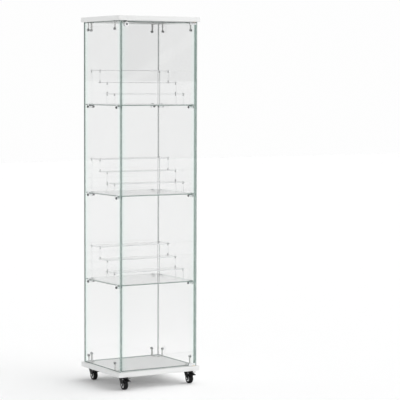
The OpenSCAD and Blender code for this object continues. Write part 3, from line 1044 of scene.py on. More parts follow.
@dataclass(frozen=True)
class ClearFinish:
    """Glass or clear plastic, with a coloured edge and bands along its sides.

    Attributes:
        face: Colour through the flat faces.
        edge: Colour of the ground or sawn edges.
        shade: Colour of the light that falls through one face.
        ior: Index of refraction.
        roughness: Roughness of the surface.
        bands: The bands, the later ones over the earlier ones.
    """

    face: Colour
    edge: Colour
    shade: Colour
    ior: float = 1.5
    roughness: float = 0.0
    bands: tuple[Band, ...] = ()

    def material(self, name: str, groups: Groups) -> Material:
        """Builds the finish. Lamps shine through it as through a filter.

        Args:
            name: The material's name.
            groups: The shared node groups.

        Returns:
            The material.
        """
        made, graph, where = new_material(name)
        rim = graph.node("ShaderNodeAttribute", attribute_name="rim").outputs["Fac"]
        haze = graph.group(groups.grain, coordinates=where, scale=HAZE_SCALE, stretch=HAZE_STRETCH)
        hazy = tuple(HAZE_LEAVES * c for c in self.face)
        colour = graph.mixed(haze, self.face, hazy)
        for band in self.bands:
            colour = graph.mixed(band.mask(graph, groups, where), colour, band.colour)
        colour = graph.mixed(rim, colour, self.edge)
        glass = graph.node(
            "ShaderNodeBsdfPrincipled",
            {
                "Base Color": colour, "Roughness": self.roughness, "IOR": self.ior,
                "Transmission Weight": 1.0,
            })
        clear = graph.node("ShaderNodeBsdfTransparent", {"Color": (*self.shade, 1.0)})
        shadow = graph.node("ShaderNodeLightPath").outputs["Is Shadow Ray"]
        both = graph.node(
            "ShaderNodeMixShader", {0: shadow, 1: glass.outputs[0], 2: clear.outputs[0]})
        graph.node("ShaderNodeOutputMaterial", {0: both.outputs[0]})
        return made


CLEAR_FACE = (0.932, 0.935, 0.934)
GREEN_EDGE = (0.70, 0.84, 0.79)
GLASS_SHADE = (0.965, 0.97, 0.97)

# One finish for each material slot. The smoked caps, chrome with a painted reflection, ground
# glass and sawn acrylic are no slots: pieces ask for them by name.
FINISHES = {
    "white_laminate": SolidFinish(
        (0.73, 0.735, 0.73), 0.42, worn=(0.74, 0.73, 0.71), wear=0.12, grain=900.0, mottle=0.012,
        gloss_range=0.05, relief=0.012 * MM, dust=0.02),
    "nickel_strip": SolidFinish(
        (0.52, 0.52, 0.51), 0.34, metallic=1.0, wear=0.2, worn=(0.66, 0.65, 0.63), grain=260.0,
        stretch=(6.0, 6.0, 0.35), mottle=0.09, gloss_range=0.1, relief=0.004 * MM),
    "chrome_fittings": SolidFinish(
        (0.90, 0.91, 0.92), 0.27, metallic=1.0, grain=700.0, mottle=0.03, gloss_range=0.06,
        relief=0.001 * MM, dust=0.02),
    # Chrome with a diffuse white share: a painted reflection that keeps the lock bright where true chrome
    # would mirror the dim front and look dark
    "satin_chrome": SolidFinish(
        (0.92, 0.92, 0.92), 0.32, metallic=0.4, grain=700.0, mottle=0.03, gloss_range=0.06,
        relief=0.001 * MM, dust=0.02),
    "steel_screws": SolidFinish(
        (0.56, 0.57, 0.58), 0.26, metallic=1.0, wear=0.3, worn=(0.7, 0.7, 0.7), grain=900.0,
        mottle=0.08, relief=0.004 * MM),
    "dark_caps": SolidFinish(
        (0.075, 0.078, 0.08), 0.36, metallic=0.35, wear=0.25, worn=(0.3, 0.3, 0.3), grain=1200.0,
        mottle=0.12, relief=0.006 * MM),
    "smoked_caps": SolidFinish(
        (0.30, 0.305, 0.31), 0.3, metallic=0.9, wear=0.25, worn=(0.5, 0.5, 0.5), grain=1200.0,
        mottle=0.08, relief=0.004 * MM),
    "dark_rubber": SolidFinish(
        (0.02, 0.02, 0.021), 0.62, grain=1500.0, mottle=0.15, relief=0.02 * MM, dust=0.06),
    "brass_inserts": SolidFinish(
        (0.72, 0.55, 0.26), 0.3, metallic=1.0, grain=600.0, mottle=0.08, relief=0.004 * MM),
    "black_plastic": SolidFinish(
        (0.006, 0.006, 0.007), 0.3, wear=0.15, worn=(0.03, 0.03, 0.03), grain=1300.0, mottle=0.15,
        relief=0.012 * MM, dust=0.005, specular=0.14),
    "black_tyre": SolidFinish(
        (0.008, 0.008, 0.009), 0.45, wear=0.2, worn=(0.03, 0.03, 0.03), grain=1500.0, mottle=0.2,
        relief=0.02 * MM, dust=0.005, specular=0.14),
    "grey_hub": SolidFinish(
        (0.96, 0.962, 0.965), 0.3, metallic=0.6, wear=0.1, worn=(0.8, 0.8, 0.8), grain=1100.0, mottle=0.03,
        relief=0.008 * MM, dust=0.01),
    "ground_glass": SolidFinish(
        (0.24, 0.31, 0.285), 0.3, worn=(0.4, 0.47, 0.45), wear=0.3, grain=1600.0, mottle=0.1,
        relief=0.01 * MM, dust=0.01, coat=0.3),
    "sawn_acrylic": SolidFinish(
        (0.80, 0.805, 0.81), 0.3, grain=900.0, mottle=0.04, relief=0.006 * MM, dust=0.01, coat=0.2),
    "clear_pads": ClearFinish((0.9, 0.92, 0.91), (0.7, 0.74, 0.72), GLASS_SHADE, ior=1.46),
    "clear_acrylic": ClearFinish(
        (0.985, 0.987, 0.988), (0.975, 0.975, 0.978), (0.985, 0.985, 0.985), ior=1.16),
}


# The workshop ------------------------------------------------------------------------------


@dataclass
class Workshop:
    """What every builder needs: the frame's nodes, its shell, and the finishes made so far."""

    nodes: dict[str, bpy.types.Object]
    body_of: dict[str, str]
    slot_of: dict[str, str]
    shell: Shell
    groups: Groups
    materials: dict[str, Material] = field(default_factory=dict)

    @classmethod
    def open(cls, frame: dict) -> "Workshop":
        """Reads bodies and slots from the frame.


        Returns:
            The workshop.
        """
        record = frame["record"]
        bodies = {n: body for body, nodes in record["behaviour"]["bodies"].items() for n in nodes}
        slots = {s["node"]: s["material_slot"] for s in record["subparts"]}
        return cls(frame["nodes"], bodies, slots, Shell.of_frame(), Groups.made())

    def solids(self, node: str) -> list[Box]:
        """The separate solids of a CAD node."""
        return solids_of(self.nodes[node])

    def material(self, slot: str, finish: ClearFinish | SolidFinish | None = None) -> Material:
        """The slot's material, or one of its own for a finish that is given.

        Args:
            slot: The slot's name, or a finish's name for a rim.
            finish: A finish to build in place of the slot's.

        Returns:
            The material.
        """
        if finish is not None:
            return finish.material(f"{slot}_{len(self.materials)}", self.groups)
        if slot not in self.materials:
            self.materials[slot] = FINISHES[slot].material(slot, self.groups)
        return self.materials[slot]

    def add(
        self,
        name: str,
        surface: Surface,
        *nodes: str,
        finish: ClearFinish | SolidFinish | None = None,
        rim: str | None = None,
        smooth: float = 38.0,
    ) -> bpy.types.Object:
        """Makes a piece that stands for CAD nodes and takes their body and slot.

        Args:
            name: The piece's name.
            surface: Its surface, in the row frame.
            nodes: The CAD nodes that it replaces.
            finish: A finish of its own, in place of the slot's.
            rim: Name of another finish for the faces that count as edge.
            smooth: Angle in degrees above which an edge stays sharp.

        Returns:
            The piece.
        """
        mesh = bpy.data.meshes.new(name)
        mesh.vertices.add(len(surface.points))
        mesh.vertices.foreach_set("co", surface.points.astype(np.float32).ravel())
        corners = np.concatenate([group.corners.ravel() for group in surface.faces])
        counts = np.concatenate(
            [np.full(len(group.corners), group.corners.shape[1]) for group in surface.faces])
        rims = np.concatenate([np.full(len(group.corners), group.rim) for group in surface.faces])
        mesh.loops.add(len(corners))
        mesh.loops.foreach_set("vertex_index", corners.astype(np.int32))
        mesh.polygons.add(len(counts))
        mesh.polygons.foreach_set("loop_start", np.append(0, np.cumsum(counts)[:-1]).astype(np.int32))
        mesh.update(calc_edges=True)
        if mesh.validate():
            log.warning("%s had faces that were mended", name)
        attribute = mesh.attributes.new("rim", "FLOAT", "FACE")
        attribute.data.foreach_set("value", rims.astype(np.float32))
        mesh.shade_smooth()
        mesh.set_sharp_from_angle(angle=np.radians(smooth))
        slot = self.slot_of[nodes[0]]
        mesh.materials.append(self.material(slot, finish))
        if rim is not None:
            mesh.materials.append(self.material(rim))
            mesh.polygons.foreach_set("material_index", (rims > 0.5).astype(np.int32))
        made = bpy.data.objects.new(name, mesh)
        bpy.context.scene.collection.objects.link(made)
        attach(made, self.body_of[nodes[0]])
        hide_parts(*nodes)
        log.info("%s: %d faces for %s", name, len(counts), ", ".join(nodes))
        return made

    def dress(self, *names: str) -> None:
        """Gives CAD nodes whose shape is right the material of their slot.

        Args:
            names: The nodes.
        """
        for name in names:
            node = self.nodes[name]
            node.data.materials.clear()
            node.data.materials.append(self.material(self.slot_of[name]))
            log.info("%s: dressed as it is", name)


def slab(box: Box, axes: Array, edge: float, corner: float, **details: object) -> Surface:
    """A plate that fills a box, drawn along two of its axes.

    Args:
        box: The box.
        axes: The two drawing axes and the way it is thick.
        edge: Radius or bevel of its edges.
        corner: Radius of its outline's corners.
        details: What else plate() takes, with holes drawn from the box's centre.

    Returns:
        The plate in the row frame.
    """
    across, up, thick = np.abs(axes @ box.size)
    outline = soften(rectangle(-across / 2, -up / 2, across / 2, up / 2), corner)
    flat = plate(outline, thick, edge, **details)
    return flat.placed(Place(box.centre, axes))


# Sub-assemblies ----------------------------------------------------------------------------


@dataclass(frozen=True)
class SubAssembly:
    """A part of the case with its own sizes, built in the workshop."""

    shop: Workshop


@dataclass(frozen=True)
class Boards(SubAssembly):
    """The laminated top and base boards, with a soft edge band, blind holes and painted shade."""

    edge: float = 1.2 * MM
    corner: float = 2.5 * MM
    screw_radius: float = 1.75 * MM
    insert_radius: float = 7.0 * MM
    bush_radius: float = 6.5 * MM
    # Colour and fade of the painted shade: the base board's top inside the glass is greyed to stand in for
    # the shade that falls there
    inlay: Colour = (0.54, 0.545, 0.54)
    painted_shade_fade: float = 1.0 * MM

    def build(self) -> None:
        """Builds both boards."""
        fixed = [(node, box) for node in ("bracket_screws", "pivot_bushes", "caster_inserts")
                 for box in self.shop.solids(node)]
        for node in ("top_board", "base_board"):
            board = Box.of(node)
            pockets = [
                pocket for name, box in fixed if (pocket := self.pocket(board, name, box)) is not None]
            surface = slab(board, LYING, self.edge, self.corner, pockets=pockets)
            self.shop.add(f"{node}_panel", surface, node, finish=self.finish(node))

    def finish(self, node: str) -> SolidFinish:
        """The laminate, with a painted shade that greys the base board's top within the glass.

        Args:
            node: The board's node.

        Returns:
            Its finish.
        """
        laminate = FINISHES["white_laminate"]
        if node != "base_board":
            return laminate
        low, high = Box.of("left_glass").high, Box.of("right_glass").low
        front, back = Box.of("door_glass").high[1], Box.of("back_glass").low[1]
        spans = (((1.0, 0.0, 0.0), low[0], high[0]), ((0.0, 1.0, 0.0), front, back))
        return replace(laminate, field=tuple(
            Band(way, float(start + end) / 2, float(end - start) / 2, self.painted_shade_fade, self.inlay)
            for way, start, end in spans))

    def pocket(self, board: Box, node: str, box: Box) -> Pocket | None:
        """The blind hole that a screw, bush or insert sits in, if it is in this board.

        Args:
            board: The board.
            node: What is fixed in it.
            box: That piece's box.

        Returns:
            The hole, or None where the piece doesn't reach into the board.
        """
        depth = min(board.high[2], box.high[2]) - max(board.low[2], box.low[2])
        if depth <= 0:
            return None
        radius = {
            "bracket_screws": self.screw_radius, "caster_inserts": self.insert_radius,
            "pivot_bushes": self.bush_radius}[node]
        where = (box.centre - board.centre)[:2]
        return Pocket(circle(radius, where), depth, bool(box.high[2] > board.high[2]))


@dataclass(frozen=True)
class GlassWork(SubAssembly):
    """The panels, the shelves and the door: tempered glass with bevelled, green edges.

    The bands are soft lines along the edges, where the ground edge and the seam show through, a
    pale green tint beside them, and a slow lightening towards the foot.
    """

    bevel: float = 0.5 * MM
    panel_corner: float = 1.5 * MM
    shelf_corner: float = 3.0 * MM
    bolt_hole: float = 3.0 * MM
    lock_gap: float = 0.5 * MM
    lock_radius: float = 9.0 * MM
    line: float = 4.0 * MM
    wide_line: float = 9.0 * MM
    line_fade: float = 1.5 * MM
    tint_reach: float = 45.0 * MM
    foot_reach: float = 400.0 * MM
    dark: Colour = (0.34, 0.42, 0.39)
    pale: Colour = (0.52, 0.53, 0.53)
    seam: Colour = (0.42, 0.47, 0.45)
    pale_seam: Colour = (0.8, 0.82, 0.81)
    tint: Colour = (0.86, 0.95, 0.92)
    foot: Colour = (0.995, 0.995, 0.995)

    def finish(self, box: Box, axes: Array, ends: Sequence[tuple[Colour, float]]) -> ClearFinish:
        """The glass finish of one pane, with lines and soft tints along its sides.

        Args:
            box: The pane's box.
            axes: Its two drawing axes and the way it is thick.
            ends: Colour and width of the lines at the low and the high end of the first axis.

        Returns:
            The finish.
        """
        seam = (self.seam, self.line)
        top = (self.pale_seam, self.line) if ends[1][0] == self.pale else seam
        lines, tints = [], []
        for way, sides in ((np.abs(axes[0]), ends), (np.abs(axes[1]), (seam, top))):
            axis = tuple(float(value) for value in way)
            for corner, (colour, width) in zip((box.low, box.high), sides, strict=True):
                at = float(way @ corner)
                lines.append(Band(axis, at, width, self.line_fade, colour))
                if colour == self.dark:
                    tints.append(Band(axis, at, 0.0, self.tint_reach, self.tint))
        if abs(axes[1][2]) > 0:
            foot = Band((0.0, 0.0, 1.0), float(box.low[2]), 0.0, self.foot_reach, self.foot)
            tints.insert(0, foot)
        return ClearFinish(CLEAR_FACE, GREEN_EDGE, GLASS_SHADE, bands=(*tints, *lines[::-1]))

    def pane(
        self,
        node: str,
        axes: Array,
        corner: float,
        ends: Sequence[tuple[Colour, float]],
        holes: Sequence[Array] = (),
    ) -> None:
        """Builds one pane in a node's place.

        Args:
            node: The node.
            axes: Its two drawing axes and the way it is thick.
            corner: Radius of its outline's corners.
            ends: Colour and width of the lines at the low and the high end of the first axis.
            holes: Holes, drawn from the pane's centre.
        """
        box = Box.of(node)
        surface = slab(box, axes, self.bevel, corner, holes=holes, steps=1, side_rim=1.0)
        self.shop.add(
            f"{node}_pane", surface, node, finish=self.finish(box, axes, ends),
            rim="ground_glass", smooth=20.0)

    def build(self) -> None:
        """Builds the three panels, the three shelves and the door."""
        bolts = [box for node in ("glass_bolts", "clip_bolts") for box in self.shop.solids(node)]
        dark, pale, wide = (
            (self.dark, self.line), (self.pale, self.line), (self.dark, self.wide_line))
        for node, axes, ends in (
            ("left_glass", FACING_SIDE, (dark, wide)), ("right_glass", FACING_SIDE, (dark, pale)),
            ("back_glass", FACING_FRONT, (dark, pale)),
        ):
            panel = Box.of(node)
            through = [b for b in bolts if (b.low < panel.high).all() and (b.high > panel.low).all()]
            where = Place(panel.centre, axes)
            holes = [circle(self.bolt_hole, where.local(b.centre)[:2], 20) for b in through]
            self.pane(node, axes, self.panel_corner, ends, holes)
        for node in ("upper_shelf", "middle_shelf", "lower_shelf"):
            self.pane(node, LYING, self.shelf_corner, (dark, dark))
        door, lock = Box.of("door_glass"), Box.of("lock_housing")
        where = Place(door.centre, FACING_FRONT).local(lock.centre)[:2]
        hole = circle(self.lock_radius + self.lock_gap, where, 40)
        self.pane("door_glass", FACING_FRONT, self.panel_corner, (dark, wide), [hole])


@dataclass(frozen=True)
class CornerBrackets(SubAssembly):
    """Bent strips that hold the panels to the boards, with their screws and capped bolts."""

    strip_thickness: float = 2.0 * MM
    bend: float = 1.2 * MM
    strip_edge: float = 0.35 * MM
    foot_corner: float = 2.0 * MM
    cap_radius: float = 6.5 * MM
    bolt_radius: float = 2.5 * MM
    cap_crown: float = 0.72
    cap_slope: float = 0.4 * MM
    cap_shoulder: float = 1.9 * MM
    nut_radius: float = 5.0 * MM
    nut_shoulder: float = 0.6 * MM
    screw_radius: float = 1.75 * MM

    def build(self) -> None:
        """Builds the strips, the bolts and the screws."""
        for node, up in (("top_brackets", -Z_WAY), ("base_brackets", Z_WAY)):
            strips = []
            for box in self.shop.solids(node):
                height = box.low[2] if up[2] > 0 else box.high[2]
                strips.append(self.bracket(box, self.shop.shell.place(box.centre, height, up)))
            self.shop.add(f"{node}_strips", joined(strips), node)
        bolts = [self.bolt(box) for box in self.shop.solids("glass_bolts")]
        self.shop.add(
            "glass_bolt_caps", joined(bolts), "glass_bolts", finish=FINISHES["smoked_caps"])
        screws = [
            standing_screw(box, self.screw_radius, Recess.CROSS)
            for box in self.shop.solids("bracket_screws")]
        self.shop.add("board_screws", joined(screws), "bracket_screws")

    def bracket(self, box: Box, place: Place) -> Surface:
        """A strip whose foot lies on the board and whose leg stands on the glass.

        Args:
            box: The solid's box.
            place: The corner of board and glass: X into the case, Z along the leg.

        Returns:
            The strip.
        """
        low, high = box.reach(place)
        middle = self.strip_thickness / 2
        width = high[1] - low[1]
        corners = [(high[0], middle), (middle, middle), (middle, high[2])]
        path = soften(np.array(corners), self.bend + middle, 8, closed=False)
        made = strip(
            path, width, self.strip_thickness, self.strip_edge, self.foot_corner, width / 2)
        return made.placed(place)

    def bolt(self, box: Box) -> Surface:
        """A bolt through the glass: a domed cap outside and a rounded nut on the strip.

        Args:
            box: The solid's box.

        Returns:
            The bolt.
        """
        seat = self.shop.shell.place(box.centre, box.centre[2])
        place = Place.at(seat.origin, Z_WAY, seat.axes[0])
        low, high = box.reach(place)
        glass, strip_top = -self.shop.shell.thickness, self.strip_thickness
        cap, nut, rod = self.cap_radius, self.nut_radius, self.bolt_radius
        corners = [
            (0, low[2]), (self.cap_crown * cap, low[2] + self.cap_slope),
            (cap, low[2] + self.cap_shoulder), (cap, glass), (rod, glass), (rod, strip_top),
            (nut, strip_top), (nut, high[2] - self.nut_shoulder), (0, high[2])]
        radii = [0, 2.5 * MM, 1.2 * MM, 0.3 * MM, 0, 0, 0.3 * MM, 0.9 * MM, 0]
        return turned(corners, radii).placed(place)


def standing_screw(box: Box, radius: float, recess: Recess) -> Surface:
    """An upright screw or stud that fills a solid's box, with its head where the solid's is.

    Args:
        box: The solid, with its points.
        radius: Radius of the shank.
        recess: The driver recess.

    Returns:
        The screw, or a plain stud where the solid has no head.
    """
    off = np.linalg.norm((box.points - box.centre)[:, :2], axis=1)
    level = box.points[:, 2]
    clear_of_shank = 1.3 * radius
    wide = level[off > clear_of_shank]
    centre = box.centre
    if len(wide) == 0:
        end = 0.3 * MM
        half = box.size[2] / 2
        return round_bar(radius, -half, half, (end, end), 16).placed(Place(centre, LYING))
    head_up = wide.mean() > centre[2]
    head = wide.max() - wide.min()
    up = Z_WAY if head_up else -Z_WAY
    seat = np.array([centre[0], centre[1], wide.min() if head_up else wide.max()])
    made = screw(box.size[0] / 2, head, radius, box.size[2] - head, recess)
    return made.placed(Place.at(seat, X_WAY, up))


@dataclass(frozen=True)
class ShelfClips(SubAssembly):
    """Clips that carry the shelves: a bent tongue, a post with a soft pad and tip, and a bolt."""

    tongue: float = 2.0 * MM
    bend: float = 1.5 * MM
    edge: float = 0.35 * MM
    tongue_corner: float = 4.0 * MM
    lip_corner: float = 3.0 * MM
    lip_reach: float = 9.0 * MM
    post_radius: float = 5.0 * MM
    flat: float = 3.5 * MM
    tip: float = 3.0 * MM
    tip_corner: float = 1.4 * MM
    pad_edge: float = 0.6 * MM
    pad_corner: float = 1.5 * MM
    bolt_radius: float = 2.5 * MM
    bolt_reach: float = 8.0 * MM
    cap_crown: float = 0.7
    cap_slope: float = 0.4 * MM
    cap_shoulder: float = 1.8 * MM

    def build(self) -> None:
        """Builds the metal, the rubber and the bolts of all the clips."""
        clips = self.shop.solids("shelf_clips")
        posts = [self.post_place(box) for box in clips]
        metal = [self.clip(box, place) for box, place in zip(clips, posts, strict=True)]
        self.shop.add("shelf_clip_metal", joined(metal), "shelf_clips")
        rubber = []
        for box in self.shop.solids("clip_rubbers"):
            away = [np.linalg.norm(place.origin - box.centre) for place in posts]
            rubber.append(self.rubber(box, posts[int(np.argmin(away))]))
        self.shop.add("shelf_clip_rubber", joined(rubber), "clip_rubbers")
        bolts = [self.bolt(box) for box in self.shop.solids("clip_bolts")]
        self.shop.add("shelf_clip_bolts", joined(bolts), "clip_bolts")

    def post_place(self, box: Box) -> Place:
        """The place on the glass behind a clip's post: X along the post, Z up."""
        return self.shop.shell.place(box.centre, box.low[2] + self.post_radius)

    def clip(self, box: Box, place: Place) -> Surface:
        """A bent tongue with its lip over the shelf, and a post whose top is cut flat.

        Args:
            box: The solid's box.
            place: The place on the glass behind the post.

        Returns:
            The tongue and the post.
        """
        low, high = box.reach(place)
        middle, cut, radius = self.tongue / 2, self.flat, self.post_radius
        corners = [(middle, low[2]), (middle, high[2] - middle), (self.lip_reach, high[2] - middle)]
        path = soften(np.array(corners), self.bend + middle, 8, closed=False)
        bent = strip(
            path, high[1] - low[1], self.tongue, self.edge, self.tongue_corner, self.lip_corner)
        start = np.arcsin(cut / radius)
        turn = np.linspace(np.pi - start, TURN + start, 28)
        outline = radius * np.stack([np.cos(turn), np.sin(turn)], 1)
        pocket = Pocket(circle(self.bolt_radius, segments=16), self.bolt_reach, from_top=False)
        post = plate(outline, high[0] - self.tongue, self.edge, pockets=[pocket])
        middle_x = (high[0] + self.tongue) / 2
        return joined([bent.placed(place), post.placed(place.within((middle_x, 0, 0), FACING_SIDE))])

    def rubber(self, box: Box, place: Place) -> Surface:
        """The round tip at the post's end, or the flat pad that the shelf lies on.

        Args:
            box: The solid's box.
            place: The place behind the nearest clip's post.

        Returns:
            The tip where the box is short along the post, or else the pad.
        """
        low, high = box.reach(place)
        if high[0] - low[0] < 2 * self.tip:
            radius = (high[1] - low[1]) / 2
            tip = round_bar(radius, low[0], high[0], (0.3 * MM, self.tip_corner))
            return tip.placed(place.within((0, 0, 0), FACING_SIDE))
        return slab(box, LYING, self.pad_edge, self.pad_corner)

    def bolt(self, box: Box) -> Surface:
        """A bolt through the glass into the post, with a domed cap outside.

        Args:
            box: The solid's box.

        Returns:
            The bolt.
        """
        place = self.shop.shell.place(box.centre, box.centre[2])
        low, high = box.reach(place)
        glass, cap, rod = -self.shop.shell.thickness, (high[1] - low[1]) / 2, self.bolt_radius
        corners = [
            (0, low[0]), (self.cap_crown * cap, low[0] + self.cap_slope),
            (cap, low[0] + self.cap_shoulder), (cap, glass), (rod, glass), (rod, high[0]),
            (0, high[0])]
        radii = [0, 2.0 * MM, 1.0 * MM, 0.3 * MM, 0, 0.4 * MM, 0]
        return turned(corners, radii).placed(place.within((0, 0, 0), FACING_SIDE))


@dataclass(frozen=True)
class DoorClamps(SubAssembly):
    """Channels over the door's corners, with a pivot pin, soft pads and screws."""

    wall: float = 2.5 * MM
    cap: float = 2.0 * MM
    depth: float = 10.0 * MM
    grip: float = 10.0 * MM
    edge: float = 0.4 * MM
    outer_corner: float = 1.6 * MM
    inner_corner: float = 0.85 * MM
    pad_edge: float = 0.12 * MM
    pad_corner: float = 0.8 * MM
    pin_radius: float = 4.0 * MM
    screw_radius: float = 2.0 * MM
    screw_head: float = 1.2 * MM

    def build(self) -> None:
        """Builds both clamps with what belongs to them."""
        bushes = self.shop.solids("pivot_bushes")
        for node, bush, up in (
            ("top_pivot_clamp", bushes[-1], Z_WAY), ("base_pivot_clamp", bushes[0], -Z_WAY),
        ):
            self.shop.add(f"{node}_channel", self.clamp(Box.of(node), bush, up), node)
        pads = [
            slab(box, FACING_FRONT, self.pad_edge, self.pad_corner)
            for box in self.shop.solids("clamp_pads")]
        self.shop.add("clamp_pad_strips", joined(pads), "clamp_pads")
        screws = [self.screw(box) for box in self.shop.solids("clamp_screws")]
        self.shop.add("clamp_screw_heads", joined(screws), "clamp_screws")
        self.shop.dress("pivot_bushes")

    def clamp(self, box: Box, bush: Box, up: Array) -> Surface:
        """A channel along X, open towards the door, and the pin that stands on it.

        Args:
            box: The clamp's box.
            bush: The box of the bush that the pin turns in, which gives its axis.
            up: The way to the board.

        Returns:
            The channel and the pin.
        """
        axis = Place.at(bush.centre, X_WAY, up)
        low, high = box.reach(axis)
        bottom, top = low[2], high[2]
        length, across = high[0] - low[0], self.depth / 2
        back = bottom + self.grip
        inner = across - self.wall
        outline = np.array([
            (-across, bottom), (-inner, bottom), (-inner, back), (inner, back), (inner, bottom),
            (across, bottom), (across, back + self.cap), (-across, back + self.cap)])
        outer, small = self.outer_corner, self.inner_corner
        outline = soften(outline, [small] * 6 + [outer] * 2)
        channel = plate(outline, length, self.edge)
        middle = (high[0] + low[0]) / 2
        pin = round_bar(self.pin_radius, back + self.cap / 2, top, (0.0, 0.8 * MM))
        return joined([channel.placed(axis.within((middle, 0, 0), FACING_SIDE)), pin.placed(axis)])

    def screw(self, box: Box) -> Surface:
        """A socket screw through the clamp's wall, with its head inside the case.

        Args:
            box: The solid's box.

        Returns:
            The screw.
        """
        seat = np.array([box.centre[0], box.high[1] - self.screw_head, box.centre[2]])
        length = box.size[1] - self.screw_head
        made = screw(box.size[0] / 2, self.screw_head, self.screw_radius, length, Recess.HEX)
        return made.placed(Place.at(seat, X_WAY, Y_WAY))


@dataclass(frozen=True)
class CamLock(SubAssembly):
    """The cam lock: a domed rim in front, a keyed plug, a nut, a cam and the strike behind."""

    rim_radius: float = 11.5 * MM
    body_radius: float = 9.0 * MM
    face_radius: float = 8.2 * MM
    bore_gap: float = 0.05 * MM
    keyway: tuple[float, float, float] = (1.8 * MM, 7.5 * MM, 6.0 * MM)
    cam_corner: float = 1.5 * MM
    cam_radius: float = 5.0 * MM
    cam_waist: float = 4.0 * MM
    flat_edge: float = 0.25 * MM
    plug_edge: float = 0.5 * MM
    bore_depth: float = 8.0 * MM
    strike_thickness: float = 1.5 * MM
    screw_radius: float = 2.0 * MM
    screw_head: float = 2.0 * MM

    def build(self) -> None:
        """Builds the lock around the axis of its plug."""
        plug, door = Box.of("lock_plug"), Box.of("door_glass")
        place = Place.at((plug.centre[0], door.low[1], plug.centre[2]), X_WAY, -Y_WAY)
        housing = self.housing(Box.of("lock_housing"), plug, place)
        # The rim and body wear chrome with a painted reflection, a diffuse white share that keeps them
        # bright
        self.shop.add(
            "lock_rim_and_body", housing, "lock_housing", finish=FINISHES["satin_chrome"])
        for node, name, make in (
            ("lock_plug", "lock_key_plug", self.plug), ("lock_nut", "lock_hex_nut", self.nut),
            ("lock_cam", "lock_cam_plate", self.cam), ("cam_screw", "lock_cam_screw", self.cam_screw),
        ):
            self.shop.add(name, make(Box.of(node), place), node)
        self.shop.add("lock_strike_plate", self.strike(Box.of("lock_strike")), "lock_strike")

    def housing(self, box: Box, plug: Box, place: Place) -> Surface:
        """The threaded body behind the glass and the domed rim in front, around the plug.

        Args:
            box: The node's box.
            plug: The plug's box.
            place: A place on the lock's axis, at the glass, facing forwards.

        Returns:
            The body and the rim, as one ring.
        """
        low, high = box.reach(place)
        bore = plug.size[0] / 2 + self.bore_gap
        body, rim, face = self.body_radius, self.rim_radius, self.face_radius
        corners = [
            (bore, low[2]), (body, low[2]), (body, 0), (rim, 0), (rim, 0.45 * high[2]),
            (face, high[2]), (bore, high[2])]
        radii = [0.2 * MM, 0.5 * MM, 0, 0.3 * MM, 0.9 * MM, 1.2 * MM, 0.35 * MM]
        return turned(corners, radii, 48, ring=True).placed(place)

    def flat_part(
        self, box: Box, place: Place, outline: Array, edge: float, **details: object
    ) -> Surface:
        """A part of the lock that is drawn from the front and fills its box's depth.

        Args:
            box: The node's box.
            place: A place on the lock's axis, at the glass, facing forwards.
            outline: Its outline around the axis.
            edge: Radius of its edges.
            details: What else plate() takes.

        Returns:
            The part.
        """
        low, high = box.reach(place)
        flat = plate(outline, high[2] - low[2], edge, **details)
        return flat.placed(place.within((0, 0, (high[2] + low[2]) / 2), LYING))

    def plug(self, box: Box, place: Place) -> Surface:
        """The plug, with its keyway in the front.

        Args:
            box: The node's box.
            place: A place on the lock's axis, at the glass, facing forwards.

        Returns:
            The plug.
        """
        wide, tall, deep = self.keyway
        keyway = Pocket(rectangle(-wide / 2, -tall / 2, wide / 2, tall / 2), deep)
        bore = Pocket(circle(self.screw_radius, segments=16), self.bore_depth, from_top=False)
        outline = circle(box.size[0] / 2, segments=40)
        return self.flat_part(box, place, outline, self.plug_edge, pockets=[keyway, bore])

    def nut(self, box: Box, place: Place) -> Surface:
        """The six-sided nut on the body, behind the glass.

        Args:
            box: The node's box.
            place: A place on the lock's axis, at the glass, facing forwards.

        Returns:
            The nut.
        """
        low, high = box.reach(place)
        quarter = np.array([[0, -1], [1, 0]])
        outline = circle((high[1] - low[1]) / 2, segments=6) @ quarter
        hole = circle(self.body_radius, segments=40)
        return self.flat_part(box, place, outline, self.flat_edge, holes=[hole], steps=3)

    def cam(self, box: Box, place: Place) -> Surface:
        """The flat cam, which reaches from the axis to its end in the CAD's direction.

        Args:
            box: The node's box.
            place: A place on the lock's axis, at the glass, facing forwards.

        Returns:
            The cam.
        """
        radius, waist, corner = self.cam_radius, self.cam_waist, self.cam_corner
        reach = box.reach(place)[1][0]
        outline = soften(
            np.array([(-radius, -radius), (0.5 * radius, -radius), (1.3 * radius, -waist),
                      (reach, -waist), (reach, waist), (1.3 * radius, waist),
                      (0.5 * radius, radius), (-radius, radius)]),
            [0.99 * radius] + [corner] * 6 + [0.99 * radius])
        return self.flat_part(box, place, outline, self.flat_edge)

    def cam_screw(self, box: Box, place: Place) -> Surface:
        """The screw that holds the cam on the plug, with its head to the back.

        Args:
            box: The node's box.
            place: A place on the lock's axis, at the glass, facing forwards.

        Returns:
            The screw.
        """
        low, high = box.reach(place)
        head = self.screw_head
        made = screw(
            box.size[0] / 2, head, self.screw_radius, high[2] - low[2] - head, Recess.CROSS)
        seat = place.put(np.array([0, 0, low[2] + head]))
        return made.placed(Place.at(seat, X_WAY, Y_WAY))

    def strike(self, box: Box) -> Surface:
        """A bent strip under the top board with a drop that the cam turns behind.

        Args:
            box: The node's box.

        Returns:
            The strike.
        """
        half = self.strike_thickness / 2
        place = Place.at((box.centre[0], 0, 0), Y_WAY, Z_WAY)
        corners = [
            (box.high[1], box.high[2] - half), (box.low[1] + half, box.high[2] - half),
            (box.low[1] + half, box.low[2])]
        path = soften(np.array(corners), 2 * half + half, 6, closed=False)
        bent = strip(path, box.size[0], 2 * half, 0.3 * MM, 2.5 * MM, 1.5 * MM)
        return bent.placed(place)


